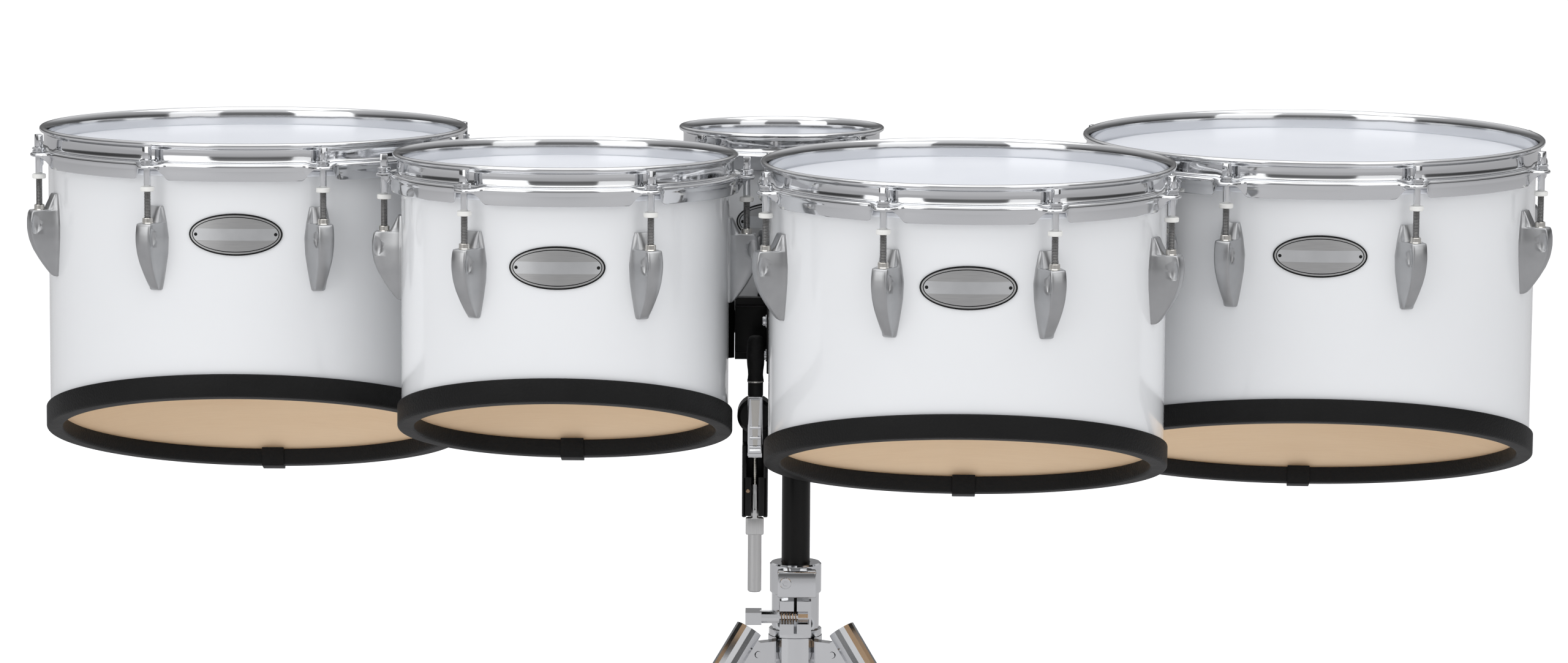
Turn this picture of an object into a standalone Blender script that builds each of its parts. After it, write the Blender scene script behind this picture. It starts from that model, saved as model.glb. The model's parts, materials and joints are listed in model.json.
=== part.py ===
"""Five marching toms on one black frame, held by a tilting head on a folding tripod stand.

Metres, +Z up, floor at z = 0, the players' side is +Y and the audience side is -Y.
The origin is the middle of the whole set's box, on the floor.
Run with: blender --background --python part.py
"""
import math
from collections import namedtuple

import bmesh
import bpy
from mathutils import Matrix, Vector

MM = 0.001
INCH = 25.4 * MM
GAP = 0.3 * MM

# Where the set stands
HOOP_TOP = 874 * MM
POST_X = 5.2 * MM
POST_Y = -56.6 * MM

# Drums: place of the axis from the post, turn to +X and lean in degrees, sides of the round faces,
# slant of the cut in degrees, and the badge's middle below the top of the hoop
Tom = namedtuple("Tom", "name diameter x y depth lugs turn lean sides cut_angle badge_drop")
TOMS = (
    Tom("tom_13", 13 * INCH, -439.0 * MM, 98.0 * MM, 248 * MM, 8, 0.3, -0.9, 36, 17.5, 71.5 * MM),
    Tom("tom_10", 10 * INCH, -180.5 * MM, -86.0 * MM, 215 * MM, 6, -0.5, -0.9, 32, 17.5, 76.3 * MM),
    Tom("tom_6", 6 * INCH, -13.5 * MM, 122.0 * MM, 158 * MM, 4, 0.0, -0.85, 24, 0.0, 71.5 * MM),
    Tom("tom_12", 12 * INCH, 130.0 * MM, -130.0 * MM, 235 * MM, 8, -1.5, 0.3, 36, 17.5, 77.5 * MM),
    Tom("tom_14", 14 * INCH, 413.5 * MM, 75.0 * MM, 257 * MM, 8, -3.2, 0.5, 36, 17.5, 74.5 * MM),
)

# Shell, head and counter hoop, measured down from the top of the hoop
SHELL_WALL = 6.5 * MM
EDGE_TOP = -15.3 * MM
EDGE_PEAK_IN = 2.0 * MM
EDGE_DROP_OUT = 1.4 * MM
EDGE_DROP_IN = 4.6 * MM
HEAD_SKIN = 0.5 * MM
HEAD_HEM_WIDE = 5.4 * MM
HEAD_HEM_HIGH = 5.0 * MM
HEAD_HEM_TOP = -21.6 * MM
HOOP_METAL = 2.2 * MM
HOOP_LIP_OUT = 7.0 * MM
HOOP_LIP_HIGH = 4.6 * MM
HOOP_WALL_OUT = 3.4 * MM
HOOP_WALL_HIGH = 17.0 * MM
HOOP_SKIRT_OUT = 8.9 * MM
HOOP_HIGH = 29.5 * MM

# Tension rods and lugs
ROD_OUT = 13.5 * MM
EAR_THICK = 3.0 * MM
EAR_TOP = -17.4 * MM
EAR_END = 20.0 * MM
EAR_WIDE = 17.0 * MM
ROD_SIDES = 6
ROD_RADIUS = 2.8 * MM
ROD_HEAD_RADIUS = 3.3 * MM
ROD_HEAD_HIGH = 10.5 * MM
ROD_WASHER_RADIUS = 5.3 * MM
ROD_WASHER_HIGH = 4.4 * MM
LUG_TOP = -50.5 * MM
LUG_SHOULDER_DROP = 12.5 * MM
LUG_RIM = 1.2 * MM
LUG_SUNK = 1.6 * MM
ROD_IN_LUG = 7.0 * MM
LUG_BORE_DEEP = 10.0 * MM
LUG_BORE_RADIUS = 3.6 * MM

# Slices of a lug in millimetres: drop below its top, half width on the shell, reach from the shell,
# half width of its nose
LUG_SLICES = (
    (0.0, 7.3, 3.0, 6.3),
    (12.2, 9.4, 8.5, 7.2),
    (12.5, 9.6, 20.6, 6.2),
    (24.0, 11.0, 22.6, 6.6),
    (37.0, 10.4, 21.0, 6.0),
    (55.0, 7.6, 11.5, 4.6),
    (66.0, 5.6, 2.6, 4.0),
)

# Black guard on the cut lower edge
GUARD_THICK = 3.0 * MM
GUARD_BOTTOM = 3.6 * MM
GUARD_HIGH_OUT = 14.5 * MM
GUARD_HIGH_IN = 9.5 * MM
GUARD_BEVEL = 1.8 * MM
CLIP_WIDE = 18.5 * MM
CLIP_THICK = 1.7 * MM

# Oval badge plate between the two front lugs
BADGE_WIDE = 73 * MM
BADGE_HIGH = 33 * MM
BADGE_THICK = 1.0 * MM
BADGE_STRIPS = 10

# Frame bar behind the drums, measured down from the top of the hoops
BAR_TOP = -122 * MM
BAR_BOTTOM = -171 * MM
BAR_THICK = 10 * MM
BAR_FRONT_Y = -23 * MM
BAR_LEFT_X = -54 * MM
BAR_RIGHT_X = 10 * MM
BAR_GAP_Y = 36 * MM
BAR_GAP_LEFT_X = -82 * MM
BAR_GAP_RIGHT_X = 39 * MM
BAR_STANDOFF = 36 * MM
BAR_FLAT_HALF = 25 * MM
BAR_LAP = 4.8 * MM
PAD_THICK = 10 * MM
PAD_WIDE = 56 * MM
SPACER_WIDE = 36 * MM
LEAN_GAP = 0.8 * MM

# Tilting head between the post and the frame
TILT_Z = -212 * MM
TILT_HUB_RADIUS = 13 * MM
TILT_TONGUE_HALF = 7 * MM
TILT_EAR_THICK = 6 * MM
TILT_BOLT_RADIUS = 3.6 * MM
TILT_BOLT_SLACK = 0.35 * MM
TILT_WING_HALF = 14 * MM
SADDLE_HIGH = 14 * MM
SADDLE_HALF_X = 15 * MM
SADDLE_BACK_Y = 22 * MM
SOCKET_RADIUS = 16.5 * MM
SOCKET_HIGH = 32 * MM
SOCKET_TOP = -232 * MM

# Post, memory lock and height clamp
POST_RADIUS = 11.3 * MM
POST_WALL = 1.8 * MM
POST_BOTTOM = -694 * MM
LOCK_TOP = -337.4 * MM
LOCK_HIGH = 24.7 * MM
LOCK_RADIUS = 20.5 * MM
CLAMP_HIGH = 33.5 * MM
CLAMP_RADIUS = 18.8 * MM
CLAMP_FOOT_RADIUS = 21.0 * MM
CLAMP_FOOT_HIGH = 5.0 * MM
CLAMP_BORE_SLACK = 0.45 * MM
CLAMP_LIP_HIGH = 12.0 * MM
CHEEK_HALF_X = 12.5 * MM
CHEEK_FRONT_Y = -29.0 * MM
SLOT_HALF = 1.2 * MM
WINDOW_HALF_Z = 5.2 * MM
WINDOW_RIGHT_X = 11.0 * MM
HEIGHT_BOLT_Y = -24.0 * MM
HEIGHT_BOLT_DROP = 15.2 * MM
HEIGHT_BOLT_RADIUS = 2.6 * MM
HEIGHT_BAR_HALF_LONG = 10.5 * MM
HEIGHT_BAR_HALF_HIGH = 4.9 * MM
SPRING_TURNS = 6
SPRING_WIRE = 0.5 * MM
SPRING_RADIUS = 3.85 * MM
SPRING_POINTS_PER_TURN = 8

# Tripod: the legs swing on the yoke, the braces on the legs, and the collar slides on the tube
TUBE_RADIUS = 14.3 * MM
TUBE_WALL = 2.1 * MM
TUBE_BOTTOM = 44 * MM
LEG_ANGLE = 54.2
LEG_PIVOT_OUT = 38.7 * MM
LEG_PIVOT_HIGH = 466 * MM
LEG_AXIS_OFF = 14.6 * MM
LEG_RADIUS = 11.0 * MM
LEG_WALL = 1.6 * MM
LEG_HEAD_LONG = 14.0 * MM
LEG_FOOT_HIGH = 13.0 * MM
LEG_CHEEK_THICK = 2.5 * MM
LEG_AZIMUTHS = (-150.0, -30.0, 90.0)
YOKE_RADIUS = 21.5 * MM
YOKE_HIGH = 34 * MM
YOKE_ARM_HALF = 5.0 * MM
YOKE_ARM_RADIUS = 8.5 * MM
PIN_RADIUS = 2.5 * MM
BRACE_ALONG_LEG = 230 * MM
BRACE_HALF_WIDE = 6.5 * MM
BRACE_HALF_THICK = 2.0 * MM
BRACE_EAR_THICK = 2.5 * MM
COLLAR_PIVOT_OUT = 32 * MM
COLLAR_DROP = 262 * MM
COLLAR_RADIUS = 19.5 * MM
COLLAR_HALF_HIGH = 10 * MM
COLLAR_SCREW_RADIUS = 3.2 * MM
COLLAR_SCREW_LONG = 12 * MM
COLLAR_WING_HALF = 14 * MM
COLLAR_WING_HALF_THICK = 3 * MM
COLLAR_WING_LONG = 14 * MM
PIN_SLACK = 0.35 * MM
FOOT_RADIUS = 15.0 * MM
FOOT_LONG = 44.0 * MM

# Toggle clamp and drop rod in front of the frame, from the post's axis
TOGGLE_X = -32.5 * MM
TOGGLE_Y = -66 * MM
TOGGLE_PIVOT_Z = -238 * MM
TOGGLE_CHEEK_TOP = -232 * MM
TOGGLE_CHEEK_BOTTOM = -289 * MM
TOGGLE_CHEEK_THICK = 3.5 * MM
TOGGLE_CHEEK_DEEP = 24 * MM
TOGGLE_INNER_HALF = 6.6 * MM
TOGGLE_BOSS_Z = -210 * MM
LEVER_HALF = 5.9 * MM
LEVER_DEEP = 9.0 * MM
LEVER_TOP = -193 * MM
GRIP_TOP = -145 * MM
GRIP_RADIUS_TOP = 6.6 * MM
GRIP_RADIUS_BOTTOM = 7.2 * MM
DROP_ROD_RADIUS = 5.4 * MM
DROP_ROD_TOP = -266 * MM
DROP_ROD_BOTTOM = -350.5 * MM
JAW_HALF_X = 7.1 * MM
JAW_TOP = -285.5 * MM
JAW_BOTTOM = -299.5 * MM
JAW_THICK = 4.0 * MM
SIDE_FLANGE_X = -24.0 * MM
SIDE_FLANGE_THICK = 4.5 * MM
SIDE_FLANGE_FRONT_Y = -75 * MM

ROUND = 20
SMALL_ROUND = 12
EPS = 0.5 * MM

FINISHES = {
    "white_lacquer": ((0.86, 0.87, 0.88), 0.12, 0.0),
    "drum_film": ((0.84, 0.86, 0.90), 0.35, 0.0),
    "chrome": ((0.80, 0.80, 0.81), 0.08, 1.0),
    "satin_alloy": ((0.52, 0.53, 0.54), 0.32, 1.0),
    "black_rubber": ((0.02, 0.02, 0.02), 0.60, 0.0),
    "black_paint": ((0.015, 0.015, 0.016), 0.35, 0.0),
    "badge_silver": ((0.62, 0.63, 0.64), 0.30, 1.0),
    "bronze": ((0.42, 0.30, 0.20), 0.35, 1.0),
}


def clear_scene():
    for thing in list(bpy.data.objects):
        bpy.data.objects.remove(thing, do_unlink=True)


def material_of(finish, piece_name):
    """A Principled material of its own for a piece, in the named finish."""
    color, roughness, metallic = FINISHES[finish]
    material = bpy.data.materials.new(piece_name + "_" + finish)
    material.use_nodes = True
    shader = material.node_tree.nodes["Principled BSDF"]
    shader.inputs["Base Color"].default_value = (*color, 1.0)
    shader.inputs["Roughness"].default_value = roughness
    shader.inputs["Metallic"].default_value = metallic
    material.diffuse_color = (*color, 1.0)
    return material


# Shapes: each function returns a closed mesh

def mesh_from(bm):
    bmesh.ops.remove_doubles(bm, verts=bm.verts, dist=1e-7)
    bmesh.ops.recalc_face_normals(bm, faces=bm.faces)
    mesh = bpy.data.meshes.new("shape")
    bm.to_mesh(mesh)
    bm.free()
    return mesh


def turned(profile, sides, cut_slope=0.0):
    """Spin a profile round Z. A point is (radius, z) or (radius, z, True) if it follows the cut.

    A profile that starts and ends on the axis makes a solid, any other makes a closed ring.
    """
    bm = bmesh.new()
    rings = []
    for point in profile:
        radius, height = point[0], point[1]
        slope = cut_slope if len(point) > 2 else 0.0
        if radius < 1e-9:
            rings.append([bm.verts.new((0, 0, height))])
            continue
        ring = []
        for step in range(sides):
            angle = 2 * math.pi * step / sides
            x, y = radius * math.sin(angle), -radius * math.cos(angle)
            ring.append(bm.verts.new((x, y, height - slope * y)))
        rings.append(ring)
    solid = len(rings[0]) == 1
    pairs = list(zip(rings, rings[1:]))
    if not solid:
        pairs.append((rings[-1], rings[0]))
    for upper, lower in pairs:
        for step in range(sides):
            after = (step + 1) % sides
            if len(upper) == 1:
                bm.faces.new((upper[0], lower[step], lower[after]))
            elif len(lower) == 1:
                bm.faces.new((upper[step], lower[0], upper[after]))
            else:
                bm.faces.new((upper[step], lower[step], lower[after], upper[after]))
    return mesh_from(bm)


def prism(outline, low, high):
    """A flat outline in X and Y, raised from low to high."""
    bm = bmesh.new()
    bottom = [bm.verts.new((x, y, low)) for x, y in outline]
    top = [bm.verts.new((x, y, high)) for x, y in outline]
    bm.faces.new(bottom)
    bm.faces.new(top)
    for step in range(len(outline)):
        after = (step + 1) % len(outline)
        bm.faces.new((bottom[step], bottom[after], top[after], top[step]))
    return mesh_from(bm)


def block(low, high):
    return prism(((low[0], low[1]), (high[0], low[1]), (high[0], high[1]), (low[0], high[1])),
                 low[2], high[2])


def cylinder(radius, low, high, sides=SMALL_ROUND):
    return turned(((0, high), (radius, high), (radius, low), (0, low)), sides)


def pipe(outer, inner, low, high, sides=ROUND):
    return turned(((outer, high), (outer, low), (inner, low), (inner, high)), sides)


def placed(mesh, matrix):
    copy = mesh.copy()
    copy.transform(matrix)
    return copy


def along_x(mesh):
    """Turn a shape made round Z so that its axis is X, low end at -X."""
    return placed(mesh, Matrix.Rotation(math.radians(90), 4, "Y"))


def along_y(mesh):
    """Turn a shape made round Z so that its axis is Y, low end at -Y."""
    return placed(mesh, Matrix.Rotation(math.radians(-90), 4, "X"))


def moved(mesh, x, y, z):
    return placed(mesh, Matrix.Translation((x, y, z)))


def combine(base, tool, operation):
    base_object = bpy.data.objects.new("base", base)
    tool_object = bpy.data.objects.new("tool", tool)
    for thing in (base_object, tool_object):
        bpy.context.scene.collection.objects.link(thing)
    modifier = base_object.modifiers.new("combine", "BOOLEAN")
    modifier.operation = operation
    modifier.solver = "EXACT"
    modifier.object = tool_object
    evaluated = base_object.evaluated_get(bpy.context.evaluated_depsgraph_get())
    mesh = bpy.data.meshes.new_from_object(evaluated)
    for thing in (base_object, tool_object):
        bpy.data.objects.remove(thing, do_unlink=True)
    return mesh


def union(base, *tools):
    for tool in tools:
        base = combine(base, tool, "UNION")
    return base


def cut(base, *tools):
    for tool in tools:
        base = combine(base, tool, "DIFFERENCE")
    return base


def cut_below(mesh, height):
    """Cut a shape flat at a height in its own frame and close the cut."""
    bm = bmesh.new()
    bm.from_mesh(mesh)
    everything = bm.verts[:] + bm.edges[:] + bm.faces[:]
    bmesh.ops.bisect_plane(bm, geom=everything, plane_co=(0, 0, height), plane_no=(0, 0, -1),
                           clear_outer=True)
    rim = [edge for edge in bm.edges if edge.is_boundary]
    bmesh.ops.contextual_create(bm, geom=rim)
    return mesh_from(bm)


def piece(name, mesh, finish, parent, matrix=None):
    """Make the named object of one sub-part and hang it on its parent."""
    thing = bpy.data.objects.new(name, mesh)
    mesh.name = name
    mesh.materials.clear()
    mesh.materials.append(material_of(finish, name))
    mesh.shade_smooth()
    mesh.set_sharp_from_angle(angle=math.radians(32))
    bpy.context.scene.collection.objects.link(thing)
    thing.parent = parent
    if matrix is not None:
        thing.matrix_local = matrix
    return thing


def empty(name, matrix, parent=None):
    thing = bpy.data.objects.new(name, None)
    thing.empty_display_size = 0.05
    bpy.context.scene.collection.objects.link(thing)
    thing.parent = parent
    thing.matrix_local = matrix
    return thing


def outward(degrees):
    """Unit direction at an angle from the drum's front, positive to +X."""
    angle = math.radians(degrees)
    return Vector((math.sin(angle), -math.cos(angle), 0.0))


def facing(degrees):
    """Matrix that turns a shape built at the front, -Y, to an angle round the drum."""
    return Matrix.Rotation(math.radians(degrees), 4, "Z")


# Drums

def tom_matrix(tom):
    place = Matrix.Translation((tom.x, tom.y, 0.0))
    lean = Matrix.Rotation(math.radians(tom.lean), 4, "X")
    return place @ lean @ facing(tom.turn)


def lug_angles(tom):
    return [360.0 / tom.lugs * (step + 0.5) for step in range(tom.lugs)]


def lug_shape(radius):
    """Die-cast lug at the drum's front, sunk a little into the shell, with the rod's bore."""
    bm = bmesh.new()
    rings = []
    for drop, base_half, reach, nose_half in LUG_SLICES:
        height = LUG_TOP - drop * MM
        side_y = -(radius + LUG_RIM)
        ring = [
            (-base_half * MM, -(radius - LUG_SUNK)),
            (-base_half * MM, side_y),
            (-nose_half * MM, -(radius + reach * MM)),
            (nose_half * MM, -(radius + reach * MM)),
            (base_half * MM, side_y),
            (base_half * MM, -(radius - LUG_SUNK)),
        ]
        rings.append([bm.verts.new((x, y, height)) for x, y in ring])
    corners = len(rings[0])
    for upper, lower in zip(rings, rings[1:]):
        for step in range(corners):
            after = (step + 1) % corners
            bm.faces.new((upper[step], upper[after], lower[after], lower[step]))
    bm.faces.new(rings[0])
    bm.faces.new(rings[-1])
    shoulder = LUG_TOP - LUG_SHOULDER_DROP
    bore = cylinder(LUG_BORE_RADIUS, shoulder - LUG_BORE_DEEP, shoulder + 2 * EPS, ROD_SIDES)
    return cut(mesh_from(bm), moved(bore, 0, -(radius + ROD_OUT), 0))


def shell_shape(tom, radius, slope):
    inner = radius - SHELL_WALL
    wall = turned((
        (radius, EDGE_TOP - EDGE_DROP_OUT),
        (radius, -tom.depth, True),
        (inner, -tom.depth, True),
        (inner, EDGE_TOP - EDGE_DROP_IN),
        (radius - EDGE_PEAK_IN, EDGE_TOP),
    ), tom.sides, slope)
    lug = lug_shape(radius)
    return union(wall, *[placed(lug, facing(angle)) for angle in lug_angles(tom)])


def head_shape(tom, radius):
    """Film over the bearing edge, down the outside of the shell, into its hem ring."""
    skin_top = EDGE_TOP + GAP + HEAD_SKIN
    skin_out = radius + GAP + HEAD_SKIN
    hem_out = radius + GAP + HEAD_HEM_WIDE
    return turned((
        (0, skin_top),
        (radius - EDGE_PEAK_IN, skin_top),
        (skin_out, EDGE_TOP - EDGE_DROP_OUT + GAP),
        (skin_out, HEAD_HEM_TOP),
        (hem_out, HEAD_HEM_TOP),
        (hem_out, HEAD_HEM_TOP - HEAD_HEM_HIGH),
        (radius + GAP, HEAD_HEM_TOP - HEAD_HEM_HIGH),
        (radius + GAP, EDGE_TOP - EDGE_DROP_OUT),
        (radius - EDGE_PEAK_IN, EDGE_TOP + GAP),
        (0, EDGE_TOP + GAP),
    ), tom.sides)


def rod_shape(radius):
    ear_top = EAR_TOP
    washer_top = ear_top + ROD_WASHER_HIGH
    tip = LUG_TOP - LUG_SHOULDER_DROP - ROD_IN_LUG
    rod = turned((
        (0, washer_top + ROD_HEAD_HIGH),
        (ROD_HEAD_RADIUS, washer_top + ROD_HEAD_HIGH),
        (ROD_HEAD_RADIUS, washer_top),
        (ROD_WASHER_RADIUS, washer_top),
        (ROD_WASHER_RADIUS, ear_top - EPS),
        (ROD_RADIUS, ear_top - EPS),
        (ROD_RADIUS, tip),
        (0, tip),
    ), ROD_SIDES)
    return moved(rod, 0, -(radius + ROD_OUT), 0)


def ear_shape(radius):
    inner = radius + HOOP_SKIRT_OUT - 0.75 * HOOP_METAL
    outer = radius + EAR_END
    half, tip_half = EAR_WIDE / 2, EAR_WIDE / 4
    outline = ((-half, -inner), (half, -inner), (half, -(outer - tip_half)), (tip_half, -outer),
               (-tip_half, -outer), (-half, -(outer - tip_half)))
    return prism(outline, EAR_TOP - EAR_THICK, EAR_TOP)


def hoop_shape(tom, radius):
    """Folded steel counter hoop with its lip, wall, ledge and skirt, its ears and its rods."""
    ledge = -HOOP_WALL_HIGH
    ring = turned((
        (radius + HOOP_LIP_OUT, -0.3 * HOOP_LIP_HIGH),
        (radius + HOOP_LIP_OUT, -0.75 * HOOP_LIP_HIGH),
        (radius + HOOP_WALL_OUT, -HOOP_LIP_HIGH),
        (radius + HOOP_WALL_OUT, ledge),
        (radius + HOOP_SKIRT_OUT, ledge - HOOP_METAL),
        (radius + HOOP_SKIRT_OUT, -HOOP_HIGH),
        (radius + HOOP_SKIRT_OUT - HOOP_METAL, -HOOP_HIGH),
        (radius + HOOP_SKIRT_OUT - HOOP_METAL, ledge - 1.8 * HOOP_METAL),
        (radius + HOOP_WALL_OUT - HOOP_METAL, ledge - HOOP_METAL),
        (radius + HOOP_WALL_OUT - HOOP_METAL, -0.4 * HOOP_LIP_HIGH),
        (radius + 0.6 * HOOP_LIP_OUT, 0.0),
    ), tom.sides)
    ear = ear_shape(radius)
    rod = rod_shape(radius)
    joined = ring
    for angle in lug_angles(tom):
        joined = union(joined, placed(ear, facing(angle)), placed(rod, facing(angle)))
    return joined


def guard_shape(tom, radius, slope):
    inner = radius - SHELL_WALL
    low = -tom.depth
    outside = radius + GAP + GUARD_THICK
    inside = inner - GAP - GUARD_THICK
    base = low - GAP
    bottom = low - GUARD_BOTTOM
    ring = turned((
        (outside, low + GUARD_HIGH_OUT, True),
        (outside, bottom + GUARD_BEVEL, True),
        (outside - GUARD_BEVEL, bottom, True),
        (inside, bottom, True),
        (inside, low + GUARD_HIGH_IN, True),
        (inner - GAP, low + GUARD_HIGH_IN, True),
        (inner - GAP, base, True),
        (radius + GAP, base, True),
        (radius + GAP, low + GUARD_HIGH_OUT, True),
    ), tom.sides, slope)
    # The clip laps the guard's ends at the back, inside, below and outside
    back = math.cos(math.pi / tom.sides)
    lap = GUARD_THICK / 2
    outline = (
        (inside * back - CLIP_THICK, low + GUARD_HIGH_IN + EPS),
        (inside * back - CLIP_THICK, bottom - CLIP_THICK),
        (outside + CLIP_THICK, bottom - CLIP_THICK),
        (outside + CLIP_THICK, low + GUARD_HIGH_OUT + EPS),
        (outside - lap, low + GUARD_HIGH_OUT + EPS),
        (outside - lap, bottom + lap),
        (inside * back + lap, bottom + lap),
        (inside * back + lap, low + GUARD_HIGH_IN + EPS),
    )
    clip = prism(outline, -CLIP_WIDE / 2, CLIP_WIDE / 2)
    upright = Matrix(((0, 0, 1, 0), (1, 0, 0, 0), (0, 1, 0, 0), (0, 0, 0, 1)))
    shear = Matrix.Identity(4)
    shear[2][1] = -slope
    return union(ring, placed(clip, shear @ upright))


def badge_shape(radius, drop):
    """Thin oval plate bent round the shell at the front, in upright strips."""
    bm = bmesh.new()
    back_radius = radius + GAP
    columns = []
    for step in range(BADGE_STRIPS + 1):
        across = -math.cos(math.pi * step / BADGE_STRIPS)
        half_high = BADGE_HIGH / 2 * math.sqrt(max(1 - across * across, 0.012))
        angle = across * BADGE_WIDE / 2 / radius
        column = []
        for ring_radius, side in ((back_radius, -1), (back_radius, 1),
                                  (back_radius + BADGE_THICK, 1), (back_radius + BADGE_THICK, -1)):
            spot = outward(math.degrees(angle)) * ring_radius
            column.append(bm.verts.new((spot.x, spot.y, -drop + side * half_high)))
        columns.append(column)
    for left, right in zip(columns, columns[1:]):
        for step in range(4):
            after = (step + 1) % 4
            bm.faces.new((left[step], left[after], right[after], right[step]))
    bm.faces.new(columns[0])
    bm.faces.new(columns[-1])
    return mesh_from(bm)


def build_tom(tom, set_frame):
    radius = tom.diameter / 2
    slope = math.tan(math.radians(tom.cut_angle))
    hub = empty(tom.name + "_axis", tom_matrix(tom), set_frame)
    piece(tom.name + "_shell", shell_shape(tom, radius, slope), "white_lacquer", hub)
    piece(tom.name + "_head", head_shape(tom, radius), "drum_film", hub)
    piece(tom.name + "_hoop", hoop_shape(tom, radius), "chrome", hub)
    piece(tom.name + "_edge_guard", guard_shape(tom, radius, slope), "black_rubber", hub)
    piece(tom.name + "_badge", badge_shape(radius, tom.badge_drop), "badge_silver", hub)
    return hub


# Frame

def tom_named(name):
    return next(tom for tom in TOMS if tom.name == name)


def axis_at_bar(tom):
    """Where the drum's leaning axis passes the middle of the frame bar."""
    return tom_matrix(tom) @ Vector((0, 0, (BAR_TOP + BAR_BOTTOM) / 2))


def strip_outline(path, thick):
    """Outline of a bar that follows a path in X and Y, with mitred bends."""
    left, right = [], []
    for step, point in enumerate(path):
        here = Vector(point)
        before = (here - Vector(path[step - 1])).normalized() if step else None
        after = (Vector(path[step + 1]) - here).normalized() if step + 1 < len(path) else None
        before = before or after
        after = after or before
        normal_before = Vector((-before.y, before.x))
        normal_after = Vector((-after.y, after.x))
        mitre = (normal_before + normal_after).normalized()
        reach = thick / 2 / mitre.dot(normal_after)
        left.append(tuple(here + mitre * reach))
        right.append(tuple(here - mitre * reach))
    return left + right[::-1]


def toward(start, end, stop_short):
    """Point on the line to end that stops short of it."""
    line = (Vector(end) - Vector(start))
    return Vector(end) - line.normalized() * stop_short


def pad_shape(tom, direction, reach, width, low=BAR_BOTTOM):
    """Block on the shell's side, hollowed to it, whose outer face is flat at a given reach."""
    radius = tom.diameter / 2 + GAP
    half = width / 2
    arc = []
    for step in range(7):
        x = -half + width * step / 6
        arc.append((x, -math.sqrt(radius * radius - x * x)))
    outer = radius - GAP + reach
    outline = arc + [(half, -outer), (-half, -outer)]
    return placed(prism(outline, low, BAR_TOP), facing(direction - tom.turn))


def angle_of(vector):
    return math.degrees(math.atan2(vector.x, -vector.y))


def build_frame(set_frame, hubs):
    back = {}
    for name in ("tom_10", "tom_12"):
        tom = tom_named(name)
        axis = axis_at_bar(tom)
        back[name] = (axis.x, axis.y + tom.diameter / 2 + BAR_STANDOFF)
    ends = {}
    for name, neighbour, side in (("tom_13", "tom_10", -1), ("tom_14", "tom_12", 1)):
        tom = tom_named(name)
        axis = axis_at_bar(tom)
        corner = (back[neighbour][0] + side * BAR_FLAT_HALF, back[neighbour][1])
        reach = tom.diameter / 2 + PAD_THICK + LEAN_GAP
        ends[name] = (corner, toward(corner, (axis.x, axis.y), reach), (axis.x, axis.y))
    mid_y = BAR_FRONT_Y + BAR_THICK / 2
    paths = {
        "frame_left": [
            tuple(ends["tom_13"][1]),
            ends["tom_13"][0],
            (back["tom_10"][0] + BAR_FLAT_HALF, back["tom_10"][1]),
            (BAR_GAP_LEFT_X, BAR_GAP_Y),
            (BAR_LEFT_X, mid_y),
        ],
        "frame_right": [
            (BAR_RIGHT_X, mid_y),
            (BAR_GAP_RIGHT_X, BAR_GAP_Y),
            (back["tom_12"][0] - BAR_FLAT_HALF, back["tom_12"][1]),
            ends["tom_14"][0],
            tuple(ends["tom_14"][1]),
        ],
    }
    for name, path in paths.items():
        piece(name, prism(strip_outline(path, BAR_THICK), BAR_BOTTOM, BAR_TOP), "black_paint",
              set_frame)
    centre = block((BAR_LEFT_X + BAR_LAP, BAR_FRONT_Y, BAR_BOTTOM),
                   (BAR_RIGHT_X - BAR_LAP, BAR_FRONT_Y + BAR_THICK, BAR_TOP))
    piece("frame_centre", centre, "black_paint", set_frame)
    for name in ("tom_13", "tom_14"):
        corner, end, axis = ends[name]
        direction = angle_of((Vector(corner) - Vector(axis)).to_3d())
        tom = tom_named(name)
        piece(name + "_bracket", pad_shape(tom, direction, PAD_THICK, PAD_WIDE), "black_paint",
              hubs[name])
    for name in ("tom_10", "tom_12"):
        tom = tom_named(name)
        reach = BAR_STANDOFF - BAR_THICK / 2 - LEAN_GAP
        piece(name + "_bracket", pad_shape(tom, 180.0, reach, SPACER_WIDE), "black_paint",
              hubs[name])
    tom = tom_named("tom_6")
    axis = axis_at_bar(tom)
    reach = axis.y - tom.diameter / 2 - (BAR_FRONT_Y + BAR_THICK) - LEAN_GAP
    above_guard = GUARD_HIGH_OUT - tom.depth + LEAN_GAP
    piece("tom_6_bracket", pad_shape(tom, 0.0, reach, SPACER_WIDE, above_guard), "black_paint",
          hubs["tom_6"])


# Tilting head, post and memory lock

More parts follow.
